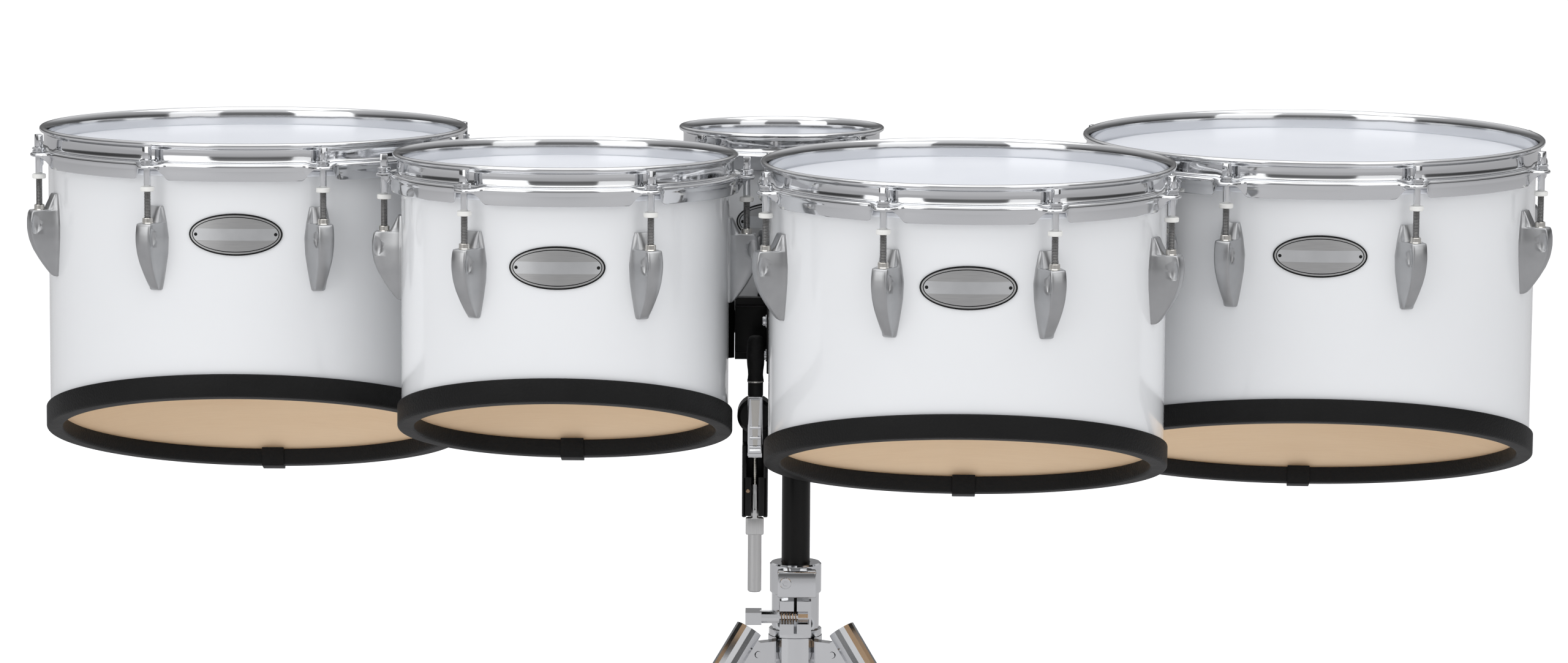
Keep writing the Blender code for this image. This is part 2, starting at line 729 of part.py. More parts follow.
def build_tilt_head(set_frame, post_axis):
    ear_in = TILT_TONGUE_HALF + GAP
    ear_out = ear_in + TILT_EAR_THICK
    hole = along_x(cylinder(TILT_BOLT_RADIUS + TILT_BOLT_SLACK, -2 * ear_out, 2 * ear_out))
    hole = moved(hole, 0, 0, TILT_Z)
    saddle_top = BAR_BOTTOM - GAP
    saddle = block((-SADDLE_HALF_X, BAR_FRONT_Y, saddle_top - SADDLE_HIGH),
                   (SADDLE_HALF_X, SADDLE_BACK_Y, saddle_top))
    tongue = block((-TILT_TONGUE_HALF, -TILT_HUB_RADIUS, TILT_Z),
                   (TILT_TONGUE_HALF, TILT_HUB_RADIUS, saddle_top - SADDLE_HIGH / 2))
    knuckle = along_x(cylinder(TILT_HUB_RADIUS, -TILT_TONGUE_HALF, TILT_TONGUE_HALF, ROUND))
    saddle = union(saddle, tongue, moved(knuckle, 0, 0, TILT_Z))
    piece("tilt_saddle", cut(saddle, hole), "black_paint", set_frame)

    socket = cylinder(SOCKET_RADIUS, SOCKET_TOP - SOCKET_HIGH, SOCKET_TOP, ROUND)
    ear_round = along_x(cylinder(TILT_HUB_RADIUS, -ear_out, ear_out, ROUND))
    ear_block = block((-ear_out, -TILT_HUB_RADIUS, SOCKET_TOP - EPS),
                      (ear_out, TILT_HUB_RADIUS, TILT_Z))
    fork = union(ear_block, moved(ear_round, 0, 0, TILT_Z))
    clearance = TILT_HUB_RADIUS + 2 * MM
    throat = block((-ear_in, -2 * clearance, TILT_Z - clearance), (ear_in, 2 * clearance, 0))
    bore = cylinder(POST_RADIUS + GAP, SOCKET_TOP - SOCKET_HIGH - EPS,
                    SOCKET_TOP - TILT_EAR_THICK, ROUND)
    piece("tilt_socket", cut(union(socket, cut(fork, throat)), hole, bore), "black_paint",
          post_axis)

    bolt = cylinder(TILT_BOLT_RADIUS, -ear_out - GAP, ear_out + GAP)
    head = cylinder(1.8 * TILT_BOLT_RADIUS, -ear_out - GAP - TILT_EAR_THICK, -ear_out - GAP, 6)
    nut = cylinder(1.9 * TILT_BOLT_RADIUS, ear_out + GAP, ear_out + GAP + TILT_EAR_THICK)
    wing_near = ear_out + GAP + TILT_EAR_THICK / 2
    wing = block((-TILT_WING_HALF, -TILT_BOLT_RADIUS, wing_near),
                 (TILT_WING_HALF, TILT_BOLT_RADIUS, wing_near + 2 * TILT_EAR_THICK))
    bolt = along_x(union(bolt, head, nut, wing))
    piece("tilt_bolt", moved(bolt, 0, 0, TILT_Z), "chrome", post_axis)


def build_post(post_axis):
    top = SOCKET_TOP - TILT_EAR_THICK - GAP
    piece("post", pipe(POST_RADIUS, POST_RADIUS - POST_WALL, POST_BOTTOM, top), "black_paint",
          post_axis)
    low = LOCK_TOP - LOCK_HIGH
    ring = pipe(LOCK_RADIUS, POST_RADIUS + GAP, low, LOCK_TOP)
    jaw = block((-CHEEK_HALF_X - 2 * MM, CHEEK_FRONT_Y, low + EPS),
                (CHEEK_HALF_X + 4 * MM, -POST_RADIUS - 3 * MM, LOCK_TOP - 3 * MM))
    piece("memory_lock", union(ring, jaw), "chrome", post_axis)


# Height clamp on top of the centre tube

def clamp_top():
    return LOCK_TOP - LOCK_HIGH - GAP


def build_height_clamp(stand_top):
    top = clamp_top()
    bottom = top - CLAMP_HIGH
    lip = top - CLAMP_LIP_HIGH
    foot = bottom + CLAMP_FOOT_HIGH
    post_bore = POST_RADIUS + CLAMP_BORE_SLACK
    body = turned((
        (CLAMP_RADIUS, top),
        (CLAMP_RADIUS, foot),
        (CLAMP_FOOT_RADIUS, foot),
        (CLAMP_FOOT_RADIUS, bottom),
        (TUBE_RADIUS + GAP, bottom),
        (TUBE_RADIUS + GAP, lip),
        (post_bore, lip),
        (post_bore, top),
    ), ROUND)
    cheeks = block((-CHEEK_HALF_X, CHEEK_FRONT_Y, foot - EPS),
                   (CHEEK_HALF_X, -TUBE_RADIUS - 2 * MM, top - 2 * MM))
    slot = block((-SLOT_HALF, 2 * CHEEK_FRONT_Y, foot + EPS), (SLOT_HALF, 0, top + EPS))
    bolt_z = top - HEIGHT_BOLT_DROP
    window = block((-2 * CHEEK_HALF_X, 2 * CHEEK_FRONT_Y, bolt_z - WINDOW_HALF_Z),
                   (WINDOW_RIGHT_X, -CLAMP_RADIUS + EPS, bolt_z + WINDOW_HALF_Z))
    piece("height_clamp", cut(union(body, cheeks), slot, window), "chrome", stand_top)

    bolt_axis = empty("height_bolt_axis", Matrix.Translation((0, HEIGHT_BOLT_Y, bolt_z)), stand_top)
    nut_radius = WINDOW_HALF_Z - 0.7 * MM
    nut_end = WINDOW_RIGHT_X - MM
    nut_start = SLOT_HALF + MM
    collar_end = -CHEEK_HALF_X - GAP
    shaft = cylinder(HEIGHT_BOLT_RADIUS, collar_end - MM, nut_end - MM)
    nut = cylinder(nut_radius, nut_start, nut_end, 6)
    collar = cylinder(nut_radius + 0.8 * MM, 2.2 * collar_end, collar_end)
    bar = block((-HEIGHT_BAR_HALF_HIGH, -HEIGHT_BAR_HALF_LONG, 3.1 * collar_end),
                (HEIGHT_BAR_HALF_HIGH, HEIGHT_BAR_HALF_LONG, 2.1 * collar_end))
    piece("height_bolt", along_x(union(collar, shaft, nut, bar)), "chrome", bolt_axis)
    build_spring(bolt_axis, collar_end + GAP, nut_start - GAP)


def build_spring(bolt_axis, low, high):
    """Loose coil on the bolt, between the collar and the nut, as one unbroken wire."""
    span = high - low - 2 * SPRING_WIRE
    points = []
    count = SPRING_TURNS * SPRING_POINTS_PER_TURN
    for step in range(count + 1):
        angle = 2 * math.pi * step / SPRING_POINTS_PER_TURN
        along = low + SPRING_WIRE + span * step / count
        points.append((along, SPRING_RADIUS * math.cos(angle), SPRING_RADIUS * math.sin(angle)))
    curve = bpy.data.curves.new("height_spring", "CURVE")
    curve.dimensions = "3D"
    curve.bevel_depth = SPRING_WIRE
    curve.bevel_resolution = 1
    curve.use_fill_caps = True
    spline = curve.splines.new("POLY")
    spline.points.add(len(points) - 1)
    for spot, point in zip(spline.points, points):
        spot.co = (*point, 1.0)
    thing = bpy.data.objects.new("height_spring", curve)
    curve.materials.append(material_of("bronze", "height_spring"))
    bpy.context.scene.collection.objects.link(thing)
    thing.parent = bolt_axis
    turn = SPRING_POINTS_PER_TURN
    least = min((Vector(points[step + turn]) - Vector(points[step])).length
                for step in range(count + 1 - turn))
    print("height_spring least gap to itself, mm:", round((least - 2 * SPRING_WIRE) / MM, 2))


# Tripod

def leg_frame(azimuth):
    """Matrix of a leg's own frame: origin on its hinge pin, +X away from the stand's axis."""
    turn = Matrix.Rotation(math.radians(azimuth), 4, "Z")
    return turn @ Matrix.Translation((LEG_PIVOT_OUT, 0, LEG_PIVOT_HIGH))


def leg_lean():
    return Matrix.Rotation(math.radians(LEG_ANGLE - 90), 4, "Y")


def side_plates(outline, inner, thick):
    """Two like plates in X and Z, on both sides of the plane Y = 0."""
    upright = Matrix(((1, 0, 0, 0), (0, 0, 1, 0), (0, 1, 0, 0), (0, 0, 0, 1)))
    return [placed(prism(outline, low, low + thick), upright) for low in (inner, -inner - thick)]


def round_bar(start, end, half_wide, half_thick, sides=8):
    """Flat bar in the X-Z plane with round ends at two pivots."""
    start, end = Vector(start), Vector(end)
    along = (end - start).normalized()
    across = Vector((-along.y, along.x))
    outline = []
    for centre, first in ((end, -90), (start, 90)):
        for step in range(sides // 2 + 1):
            angle = math.radians(first + 180 * step / (sides // 2))
            spot = centre + (along * math.cos(angle) + across * math.sin(angle)) * half_wide
            outline.append(tuple(spot))
    upright = Matrix(((1, 0, 0, 0), (0, 0, 1, 0), (0, 1, 0, 0), (0, 0, 0, 1)))
    return placed(prism(outline, -half_thick, half_thick), upright)


def brace_pivot():
    """Brace's pin in the leg's upright frame."""
    return Vector((LEG_AXIS_OFF - LEG_RADIUS - 9.6 * MM, 0, -BRACE_ALONG_LEG))


def leg_length():
    lean = math.radians(LEG_ANGLE)
    axis_high = LEG_PIVOT_HIGH + LEG_AXIS_OFF * math.cos(lean)
    return (axis_high - LEG_FOOT_HIGH) / math.sin(lean)


def build_leg(name, stand, azimuth):
    hinge = empty(name + "_hinge", leg_frame(azimuth), stand)
    length = leg_length()
    cheek_in = YOKE_ARM_HALF + GAP
    tube = moved(pipe(LEG_RADIUS, LEG_RADIUS - LEG_WALL, -length, LEG_HEAD_LONG, 16),
                 LEG_AXIS_OFF, 0, 0)
    notch = placed(cylinder(YOKE_ARM_RADIUS + 0.7 * MM, -cheek_in, cheek_in),
                   Matrix.Rotation(math.radians(90), 4, "X"))
    far = LEG_AXIS_OFF
    cheek = ((-9 * MM, 4 * MM), (-9 * MM, -4 * MM), (-5 * MM, -9 * MM), (far, -36 * MM),
             (far, 9 * MM), (0, 9 * MM), (-6 * MM, 7 * MM))
    pivot = brace_pivot()
    lug = ((pivot.x - 6 * MM, pivot.z + 3 * MM), (pivot.x - 6 * MM, pivot.z - 3 * MM),
           (pivot.x - 2 * MM, pivot.z - 7 * MM), (far - 6 * MM, pivot.z - 12 * MM),
           (far - 6 * MM, pivot.z + 12 * MM), (pivot.x - 2 * MM, pivot.z + 7 * MM))
    pin_hole = placed(cylinder(PIN_RADIUS + PIN_SLACK, -4 * cheek_in, 4 * cheek_in),
                      Matrix.Rotation(math.radians(90), 4, "X"))
    brace_in = BRACE_HALF_THICK + GAP
    pin_end = brace_in + BRACE_EAR_THICK + MM
    pin = placed(cylinder(PIN_RADIUS, -pin_end, pin_end), Matrix.Rotation(math.radians(90), 4, "X"))
    leg = cut(tube, notch)
    leg = union(leg, *side_plates(cheek, cheek_in, LEG_CHEEK_THICK))
    leg = union(leg, *side_plates(lug, brace_in, BRACE_EAR_THICK))
    leg = union(cut(leg, pin_hole), moved(pin, *pivot))
    piece(name, placed(leg, leg_lean()), "chrome", hinge)

    foot_bore = cylinder(LEG_RADIUS + GAP, -length - GAP, 0, 16)
    foot = cylinder(FOOT_RADIUS, -length - FOOT_LONG / 2, -length + FOOT_LONG / 2, 16)
    foot = placed(moved(cut(foot, foot_bore), LEG_AXIS_OFF, 0, 0), leg_lean())
    piece(name + "_foot", cut_below(foot, -LEG_PIVOT_HIGH), "black_rubber", hinge)

    brace_at = (leg_lean() @ pivot)
    collar_at = Vector((COLLAR_PIVOT_OUT - LEG_PIVOT_OUT, 0, -COLLAR_DROP))
    brace_hinge = empty(name + "_brace_hinge", Matrix.Translation(brace_at), hinge)
    reach = collar_at - brace_at
    bar = round_bar((0, 0), (reach.x, reach.z), BRACE_HALF_WIDE, BRACE_HALF_THICK)
    hole = placed(cylinder(PIN_RADIUS + PIN_SLACK, -pin_end, pin_end),
                  Matrix.Rotation(math.radians(90), 4, "X"))
    piece(name.replace("leg", "brace"), cut(bar, hole), "chrome", brace_hinge)


def build_base(stand, stand_top):
    bottom = clamp_top() - CLAMP_HIGH
    tube_top = HOOP_TOP + clamp_top() - CLAMP_LIP_HIGH - GAP
    piece("centre_tube", pipe(TUBE_RADIUS, TUBE_RADIUS - TUBE_WALL, TUBE_BOTTOM, tube_top),
          "chrome", stand)
    yoke_top = HOOP_TOP + bottom - GAP
    yoke = pipe(YOKE_RADIUS, TUBE_RADIUS + GAP, yoke_top - YOKE_HIGH, yoke_top, 24)
    pin_end = YOKE_ARM_HALF + GAP + LEG_CHEEK_THICK + MM
    pin = placed(cylinder(PIN_RADIUS, -pin_end, pin_end), Matrix.Rotation(math.radians(90), 4, "X"))
    arm = round_bar((TUBE_RADIUS + 4 * MM, LEG_PIVOT_HIGH), (LEG_PIVOT_OUT, LEG_PIVOT_HIGH),
                    YOKE_ARM_RADIUS, YOKE_ARM_HALF)
    arm = cut(arm, cylinder(TUBE_RADIUS + 2 * MM, 0, HOOP_TOP, 24))
    arm = union(arm, moved(pin, LEG_PIVOT_OUT, 0, LEG_PIVOT_HIGH))
    arms = [placed(arm, Matrix.Rotation(math.radians(angle), 4, "Z")) for angle in LEG_AZIMUTHS]
    piece("leg_yoke", union(yoke, *arms), "chrome", stand)
    for number, azimuth in enumerate(LEG_AZIMUTHS, 1):
        build_leg("leg_%d" % number, stand, azimuth)

    collar_z = LEG_PIVOT_HIGH - COLLAR_DROP
    collar = pipe(COLLAR_RADIUS, TUBE_RADIUS + GAP, -COLLAR_HALF_HIGH, COLLAR_HALF_HIGH, 24)
    ear_in = BRACE_HALF_THICK + GAP
    near, far = COLLAR_RADIUS - 2 * MM, COLLAR_PIVOT_OUT + 6 * MM
    outline = ((near, -8 * MM), (far - 3 * MM, -8 * MM), (far, -4 * MM), (far, 4 * MM),
               (far - 3 * MM, 8 * MM), (near, 8 * MM))
    for azimuth in LEG_AZIMUTHS:
        turn = Matrix.Rotation(math.radians(azimuth), 4, "Z")
        ears = side_plates(outline, ear_in, BRACE_EAR_THICK)
        collar = union(collar, *[placed(ear, turn) for ear in ears])
    collar_axis = empty("collar_axis", Matrix.Translation((0, 0, collar_z)), stand)
    piece("brace_collar", collar, "chrome", collar_axis)
    screw_start = COLLAR_RADIUS + GAP
    screw_end = screw_start + COLLAR_SCREW_LONG
    wing_near = screw_end - 4 * MM
    screw = cylinder(COLLAR_SCREW_RADIUS, -screw_end, -screw_start)
    wing = block((-COLLAR_WING_HALF, -COLLAR_WING_HALF_THICK, -wing_near - COLLAR_WING_LONG),
                 (COLLAR_WING_HALF, COLLAR_WING_HALF_THICK, -wing_near))
    piece("collar_bolt", along_y(union(screw, wing)), "chrome", collar_axis)


# Toggle clamp and drop rod

def build_toggle(set_frame):
    x, half = TOGGLE_X, TOGGLE_INNER_HALF + TOGGLE_CHEEK_THICK
    flange_right = SIDE_FLANGE_X + SIDE_FLANGE_THICK
    plate_front = BAR_FRONT_Y - GAP - 4 * MM
    flange = block((SIDE_FLANGE_X, SIDE_FLANGE_FRONT_Y, BAR_BOTTOM - 4 * MM),
                   (flange_right, BAR_FRONT_Y - GAP, BAR_TOP + MM))
    plate = block((BAR_LEFT_X + BAR_LAP, plate_front, BAR_BOTTOM + 6 * MM),
                  (flange_right - EPS, BAR_FRONT_Y - GAP, BAR_TOP - 6 * MM))
    piece("side_flange", union(flange, plate), "black_paint", set_frame)
    hanger_x = flange_right + GAP
    hanger = block((hanger_x, TOGGLE_Y, TOGGLE_BOSS_Z - 15 * MM),
                   (hanger_x + 2.5 * MM, TOGGLE_Y + 18 * MM, BAR_BOTTOM + 14 * MM))

    rod_y = TOGGLE_Y + 7 * MM
    web_front = rod_y + DROP_ROD_RADIUS + GAP
    web_back = web_front + 4 * MM
    cheek_front = web_back - TOGGLE_CHEEK_DEEP
    boss_radius = hanger_x + MM - x
    boss = moved(along_y(cylinder(boss_radius, 0, 26 * MM, ROUND)), x, TOGGLE_Y, TOGGLE_BOSS_Z)
    web = block((x - half, web_front, TOGGLE_CHEEK_BOTTOM), (x + half, web_back, TOGGLE_BOSS_Z))
    cheeks = [block((x + low, cheek_front, TOGGLE_CHEEK_BOTTOM),
                    (x + low + TOGGLE_CHEEK_THICK, web_back - EPS, TOGGLE_CHEEK_TOP))
              for low in (-half, TOGGLE_INNER_HALF)]
    piece("toggle_body", union(boss, hanger, web, *cheeks), "black_paint", set_frame)

    lever_front = TOGGLE_Y - GAP - LEVER_DEEP
    pivot_y = lever_front + LEVER_DEEP / 2
    lever_axis = empty("lever_axis", Matrix.Translation((x, pivot_y, TOGGLE_PIVOT_Z)), set_frame)
    rise = LEVER_TOP - TOGGLE_PIVOT_Z
    lever = block((-LEVER_HALF, -LEVER_DEEP / 2, 0), (LEVER_HALF, LEVER_DEEP / 2, rise))
    knuckle = along_x(cylinder(LEVER_DEEP / 2, -LEVER_HALF, LEVER_HALF))
    piece("toggle_lever", union(lever, knuckle), "chrome", lever_axis)
    grip_high = GRIP_TOP - LEVER_TOP
    piece("toggle_grip", moved(turned((
        (0, grip_high),
        (0.6 * GRIP_RADIUS_TOP, grip_high),
        (GRIP_RADIUS_TOP, grip_high - 4 * MM),
        (GRIP_RADIUS_BOTTOM, 0.62 * grip_high),
        (GRIP_RADIUS_TOP - MM, 0.28 * grip_high),
        (GRIP_RADIUS_TOP, GAP),
        (0, GAP),
    ), SMALL_ROUND), 0, 0, rise), "black_rubber", lever_axis)

    front = rod_y - DROP_ROD_RADIUS - GAP
    piece("drop_rod", moved(cylinder(DROP_ROD_RADIUS, DROP_ROD_BOTTOM, DROP_ROD_TOP, ROUND),
                            x, rod_y, 0), "satin_alloy", set_frame)
    jaw_axis = empty("jaw_axis", Matrix.Translation((x, front, JAW_TOP)), set_frame)
    jaw_high = JAW_TOP - JAW_BOTTOM
    jaw = block((-JAW_HALF_X, -JAW_THICK, -jaw_high - GAP - 4 * MM),
                (JAW_HALF_X, 0, -4 * MM - GAP))
    link_top = 22 * MM
    link = block((-1.8 * MM, -JAW_THICK, -5 * MM), (1.8 * MM, 0, link_top))
    screw_top = TOGGLE_PIVOT_Z - LEVER_DEEP / 2 - GAP - JAW_TOP
    screw = moved(cylinder(2.3 * MM, link_top - MM, screw_top), 0, -JAW_THICK / 2, 0)
    piece("toggle_jaw", union(jaw, link, screw), "satin_alloy", jaw_axis)


def main():
    clear_scene()
    stand = empty("stand", Matrix.Translation((POST_X, POST_Y, 0)))
    stand_top = empty("stand_top", Matrix.Translation((0, 0, HOOP_TOP)), stand)
    post_axis = empty("post_axis", Matrix.Translation((0, 0, HOOP_TOP)), stand)
    tilt_axis = empty("tilt_axis", Matrix.Translation((0, 0, TILT_Z)), post_axis)
    set_frame = empty("set_frame", Matrix.Translation((0, 0, -TILT_Z)), tilt_axis)
    hubs = {tom.name: build_tom(tom, set_frame) for tom in TOMS}
    build_frame(set_frame, hubs)
    build_toggle(set_frame)
    build_tilt_head(set_frame, post_axis)
    build_post(post_axis)
    build_height_clamp(stand_top)
    build_base(stand, stand_top)


main()
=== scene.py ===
"""Looks of the marching tom set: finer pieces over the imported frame, their finishes, light and camera.

Metres, +Z up, the audience side is -Y. Sizes below are millimetres times MM.
"""
import json
import math
from collections import namedtuple

import bmesh
import bpy
from mathutils import Matrix, Vector


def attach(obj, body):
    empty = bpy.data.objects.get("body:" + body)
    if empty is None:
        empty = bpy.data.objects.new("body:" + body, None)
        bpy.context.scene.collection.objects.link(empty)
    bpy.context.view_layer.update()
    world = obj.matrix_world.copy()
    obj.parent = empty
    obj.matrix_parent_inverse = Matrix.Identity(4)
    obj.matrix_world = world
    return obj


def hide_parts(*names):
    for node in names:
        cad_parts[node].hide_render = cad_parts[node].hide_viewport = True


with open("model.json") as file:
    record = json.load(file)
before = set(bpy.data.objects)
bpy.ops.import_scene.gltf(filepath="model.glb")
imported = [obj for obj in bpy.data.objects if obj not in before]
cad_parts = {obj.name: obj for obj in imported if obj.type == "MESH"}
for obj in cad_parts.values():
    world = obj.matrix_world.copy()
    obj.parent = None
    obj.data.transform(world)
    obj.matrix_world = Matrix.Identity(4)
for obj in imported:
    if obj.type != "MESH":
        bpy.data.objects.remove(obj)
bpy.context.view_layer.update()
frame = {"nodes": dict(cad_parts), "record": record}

MM = 0.001
INCH = 25.4 * MM

# The set's place comes from the frame: the tilt joint lies on the post's axis
TILT = next(Vector(joint["pos_m"]) for joint in frame["record"]["behaviour"]["joints"]
            if joint["name"] == "set_tilt")
TILT_DROP = 212 * MM
HOOP_TOP = TILT.z + TILT_DROP
POST = Vector((TILT.x, TILT.y, 0.0))

# Drums as in the part: axis from the post, turn and lean in degrees, slant of the cut, badge's drop
Tom = namedtuple("Tom", "name diameter x y depth lugs turn lean cut_angle badge_drop")
TOMS = (
    Tom("tom_13", 13 * INCH, -439.0 * MM, 98.0 * MM, 248 * MM, 8, 0.3, -0.9, 17.5, 71.5 * MM),
    Tom("tom_10", 10 * INCH, -180.5 * MM, -86.0 * MM, 215 * MM, 6, -0.5, -0.9, 17.5, 76.3 * MM),
    Tom("tom_6", 6 * INCH, -13.5 * MM, 122.0 * MM, 158 * MM, 4, 0.0, -0.85, 0.0, 71.5 * MM),
    Tom("tom_12", 12 * INCH, 130.0 * MM, -130.0 * MM, 235 * MM, 8, -1.5, 0.3, 17.5, 77.5 * MM),
    Tom("tom_14", 14 * INCH, 413.5 * MM, 75.0 * MM, 257 * MM, 8, -3.2, 0.5, 17.5, 74.5 * MM),
)
ROUND_SIDES = 128
SMALL_SIDES = 24

# Shell, head and edge, down from the hoop's top
SHELL_WALL = 6.5 * MM
LACQUER = 0.7 * MM
LAYER_GAP = 0.02 * MM
EDGE_TOP = -15.3 * MM
EDGE_PEAK_IN = 2.0 * MM
EDGE_DROP_OUT = 1.4 * MM
EDGE_DROP_IN = 4.6 * MM
GAP = 0.3 * MM
HEAD_SKIN = 0.5 * MM
HEM_WIDE = 5.0 * MM
HEM_TOP = -21.8 * MM
HEM_BOTTOM = -26.4 * MM

# Tension rods and lugs
ROD_OUT = 13.5 * MM
EAR_TOP = -17.4 * MM
EAR_BOTTOM = -20.4 * MM
SHOULDER = -63.0 * MM
LUG_TOP = -50.5 * MM
LUG_HIGH = 66.0 * MM
LUG_SHOULDER_DROP = 12.5 * MM
LUG_SUNK = 1.2 * MM

# Edge guard and clip
GUARD_THICK = 3.0 * MM
GUARD_BOTTOM = 3.6 * MM
GUARD_HIGH_OUT = 14.5 * MM
GUARD_HIGH_IN = 9.5 * MM
CLIP_WIDE = 18.5 * MM
CLIP_THICK = 1.6 * MM

# Badge
BADGE_WIDE = 73 * MM
BADGE_HIGH = 33 * MM


# Shader maths

class Link:
    """A node's output that takes part in sums."""

    def __init__(self, recipe, socket):
        self.recipe = recipe
        self.socket = socket

    def math(self, operation, other, swapped=False):
        first, second = (other, self) if swapped else (self, other)
        return self.recipe.node("ShaderNodeMath", {"operation": operation}, {0: first, 1: second})

    def __add__(self, other):
        return self.math("ADD", other)

    def __sub__(self, other):
        return self.math("SUBTRACT", other)

    def __rsub__(self, other):
        return self.math("SUBTRACT", other, swapped=True)

    def __mul__(self, other):
        return self.math("MULTIPLY", other)

    __radd__ = __add__
    __rmul__ = __mul__


class Recipe:
    """A material with one Principled shader."""

    def __init__(self, name):
        self.material = bpy.data.materials.new(name)
        self.material.use_nodes = True
        self.tree = self.material.node_tree
        self.shader = self.tree.nodes["Principled BSDF"]

    def node(self, kind, settings=None, inputs=None, output=0):
        made = self.tree.nodes.new(kind)
        for key, value in (settings or {}).items():
            setattr(made, key, value)
        for key, value in (inputs or {}).items():
            self.feed(made.inputs[key], value)
        return Link(self, made.outputs[output])

    def feed(self, socket, value):
        if isinstance(value, Link):
            self.tree.links.new(value.socket, socket)
        else:
            socket.default_value = value

    def coat(self, **values):
        """Set the shader's sockets: base_color becomes Base Color and so on."""
        for key, value in values.items():
            self.feed(self.shader.inputs[key.replace("_", " ").title()], value)

    def shine(self, level):
        self.feed(self.shader.inputs["Specular IOR Level"], level)

    def place(self):
        return self.node("ShaderNodeTexCoord", output="Object")

    def stretched(self, scale):
        return self.node("ShaderNodeMapping", {}, {"Vector": self.place(), "Scale": scale})

    def noise(self, vector, scale, detail=3.0):
        return self.node("ShaderNodeTexNoise", {}, {"Vector": vector, "Scale": scale, "Detail": detail})

    def blend(self, factor, first, second):
        mix = self.tree.nodes.new("ShaderNodeMix")
        mix.data_type = "RGBA"
        self.feed(mix.inputs[0], factor)
        self.feed(mix.inputs[6], (*first, 1.0))
        self.feed(mix.inputs[7], (*second, 1.0))
        return Link(self, mix.outputs[2])

    def bump(self, height, strength, distance):
        return self.node("ShaderNodeBump", {}, {"Strength": strength, "Distance": distance, "Height": height})


def lacquer_finish():
    recipe = Recipe("white_lacquer")
    place = recipe.place()
    slow = recipe.noise(place, 9.0, 2.0)
    peel = recipe.noise(place, 420.0, 1.0)
    recipe.coat(base_color=recipe.blend(slow, (0.780, 0.788, 0.800), (0.805, 0.812, 0.822)),
                roughness=0.10 + 0.06 * slow, coat_weight=0.5, coat_roughness=0.04,
                normal=recipe.bump(peel, 0.05, 0.0004))
    return recipe.material


def birch_finish():
    recipe = Recipe("birch_ply")
    broad = recipe.noise(recipe.stretched((3.0, 3.0, 22.0)), 3.2, 4.0)
    fine = recipe.noise(recipe.stretched((9.0, 9.0, 260.0)), 4.0, 5.0)
    figure = recipe.node("ShaderNodeMath", {"operation": "POWER"}, {0: fine, 1: 1.6})
    recipe.coat(base_color=recipe.blend(0.55 * broad + 0.45 * figure, (0.920, 0.740, 0.530), (0.800, 0.600, 0.400)),
                roughness=0.48 + 0.14 * fine, normal=recipe.bump(fine, 0.12, 0.0003))
    return recipe.material


def film_finish():
    recipe = Recipe("drum_film")
    haze = recipe.noise(recipe.place(), 30.0, 2.0)
    recipe.coat(base_color=recipe.blend(haze, (0.830, 0.850, 0.900), (0.850, 0.868, 0.912)),
                roughness=0.34 + 0.08 * haze, normal=recipe.bump(recipe.noise(recipe.place(), 900.0, 1.0), 0.04, 0.0002))
    return recipe.material


def metal_finish(name, dark, light, smooth, rough, grain, scale=(1.0, 1.0, 1.0), bump=0.0):
    """Metal whose colour and roughness drift between two values over its grain."""
    recipe = Recipe(name)
    drift = recipe.noise(recipe.stretched(scale), grain, 3.0)
    recipe.coat(base_color=recipe.blend(drift, dark, light), metallic=1.0,
                roughness=smooth + (rough - smooth) * drift)
    if bump:
        recipe.coat(normal=recipe.bump(drift, bump, 0.0003))
    return recipe.material


def rubber_finish():
    recipe = Recipe("black_rubber")
    cells = recipe.node("ShaderNodeTexVoronoi", {}, {"Vector": recipe.place(), "Scale": 520.0})
    wear = recipe.noise(recipe.place(), 40.0, 4.0)
    recipe.shine(0.22)
    recipe.coat(base_color=recipe.blend(wear, (0.004, 0.004, 0.004), (0.009, 0.009, 0.009)),
                roughness=0.46 + 0.16 * wear, normal=recipe.bump(cells, 0.35, 0.0006))
    return recipe.material


def paint_finish():
    recipe = Recipe("black_powder_coat")
    speck = recipe.noise(recipe.place(), 700.0, 2.0)
    wear = recipe.noise(recipe.place(), 25.0, 3.0)
    recipe.shine(0.25)
    recipe.coat(base_color=recipe.blend(wear, (0.003, 0.003, 0.003), (0.007, 0.007, 0.007)),
                roughness=0.30 + 0.14 * wear, normal=recipe.bump(speck, 0.12, 0.0003))
    return recipe.material


def nylon_finish():
    recipe = Recipe("white_nylon")
    haze = recipe.noise(recipe.place(), 160.0, 2.0)
    recipe.coat(base_color=recipe.blend(haze, (0.760, 0.755, 0.720), (0.820, 0.815, 0.790)),
                roughness=0.42 + 0.1 * haze)
    return recipe.material


CHROME = metal_finish("chrome", (0.70, 0.71, 0.73), (0.77, 0.775, 0.785), 0.06, 0.12, 14.0)
LUG_METAL = metal_finish("die_cast_satin", (0.40, 0.405, 0.415), (0.55, 0.555, 0.56), 0.28, 0.40, 60.0, bump=0.05)
THREAD = metal_finish("thread_steel", (0.20, 0.20, 0.20), (0.34, 0.335, 0.33), 0.26, 0.42, 260.0)
NICKEL = metal_finish("nickel_ferrule", (0.60, 0.58, 0.54), (0.72, 0.70, 0.66), 0.14, 0.22, 90.0)
BRUSHED = metal_finish("brushed_rod", (0.60, 0.60, 0.60), (0.76, 0.76, 0.75), 0.24, 0.36, 60.0,
                       scale=(30.0, 30.0, 1.0), bump=0.06)
BADGE_METAL = metal_finish("badge_silver", (0.50, 0.50, 0.50), (0.66, 0.66, 0.655), 0.26, 0.38, 70.0,
                           scale=(1.0, 1.0, 26.0), bump=0.04)
BADGE_LIGHT = metal_finish("badge_band", (0.68, 0.69, 0.70), (0.78, 0.79, 0.80), 0.30, 0.40, 80.0)
BRONZE = metal_finish("bronze", (0.36, 0.25, 0.16), (0.50, 0.36, 0.25), 0.24, 0.38, 180.0)
LACQUERED = lacquer_finish()
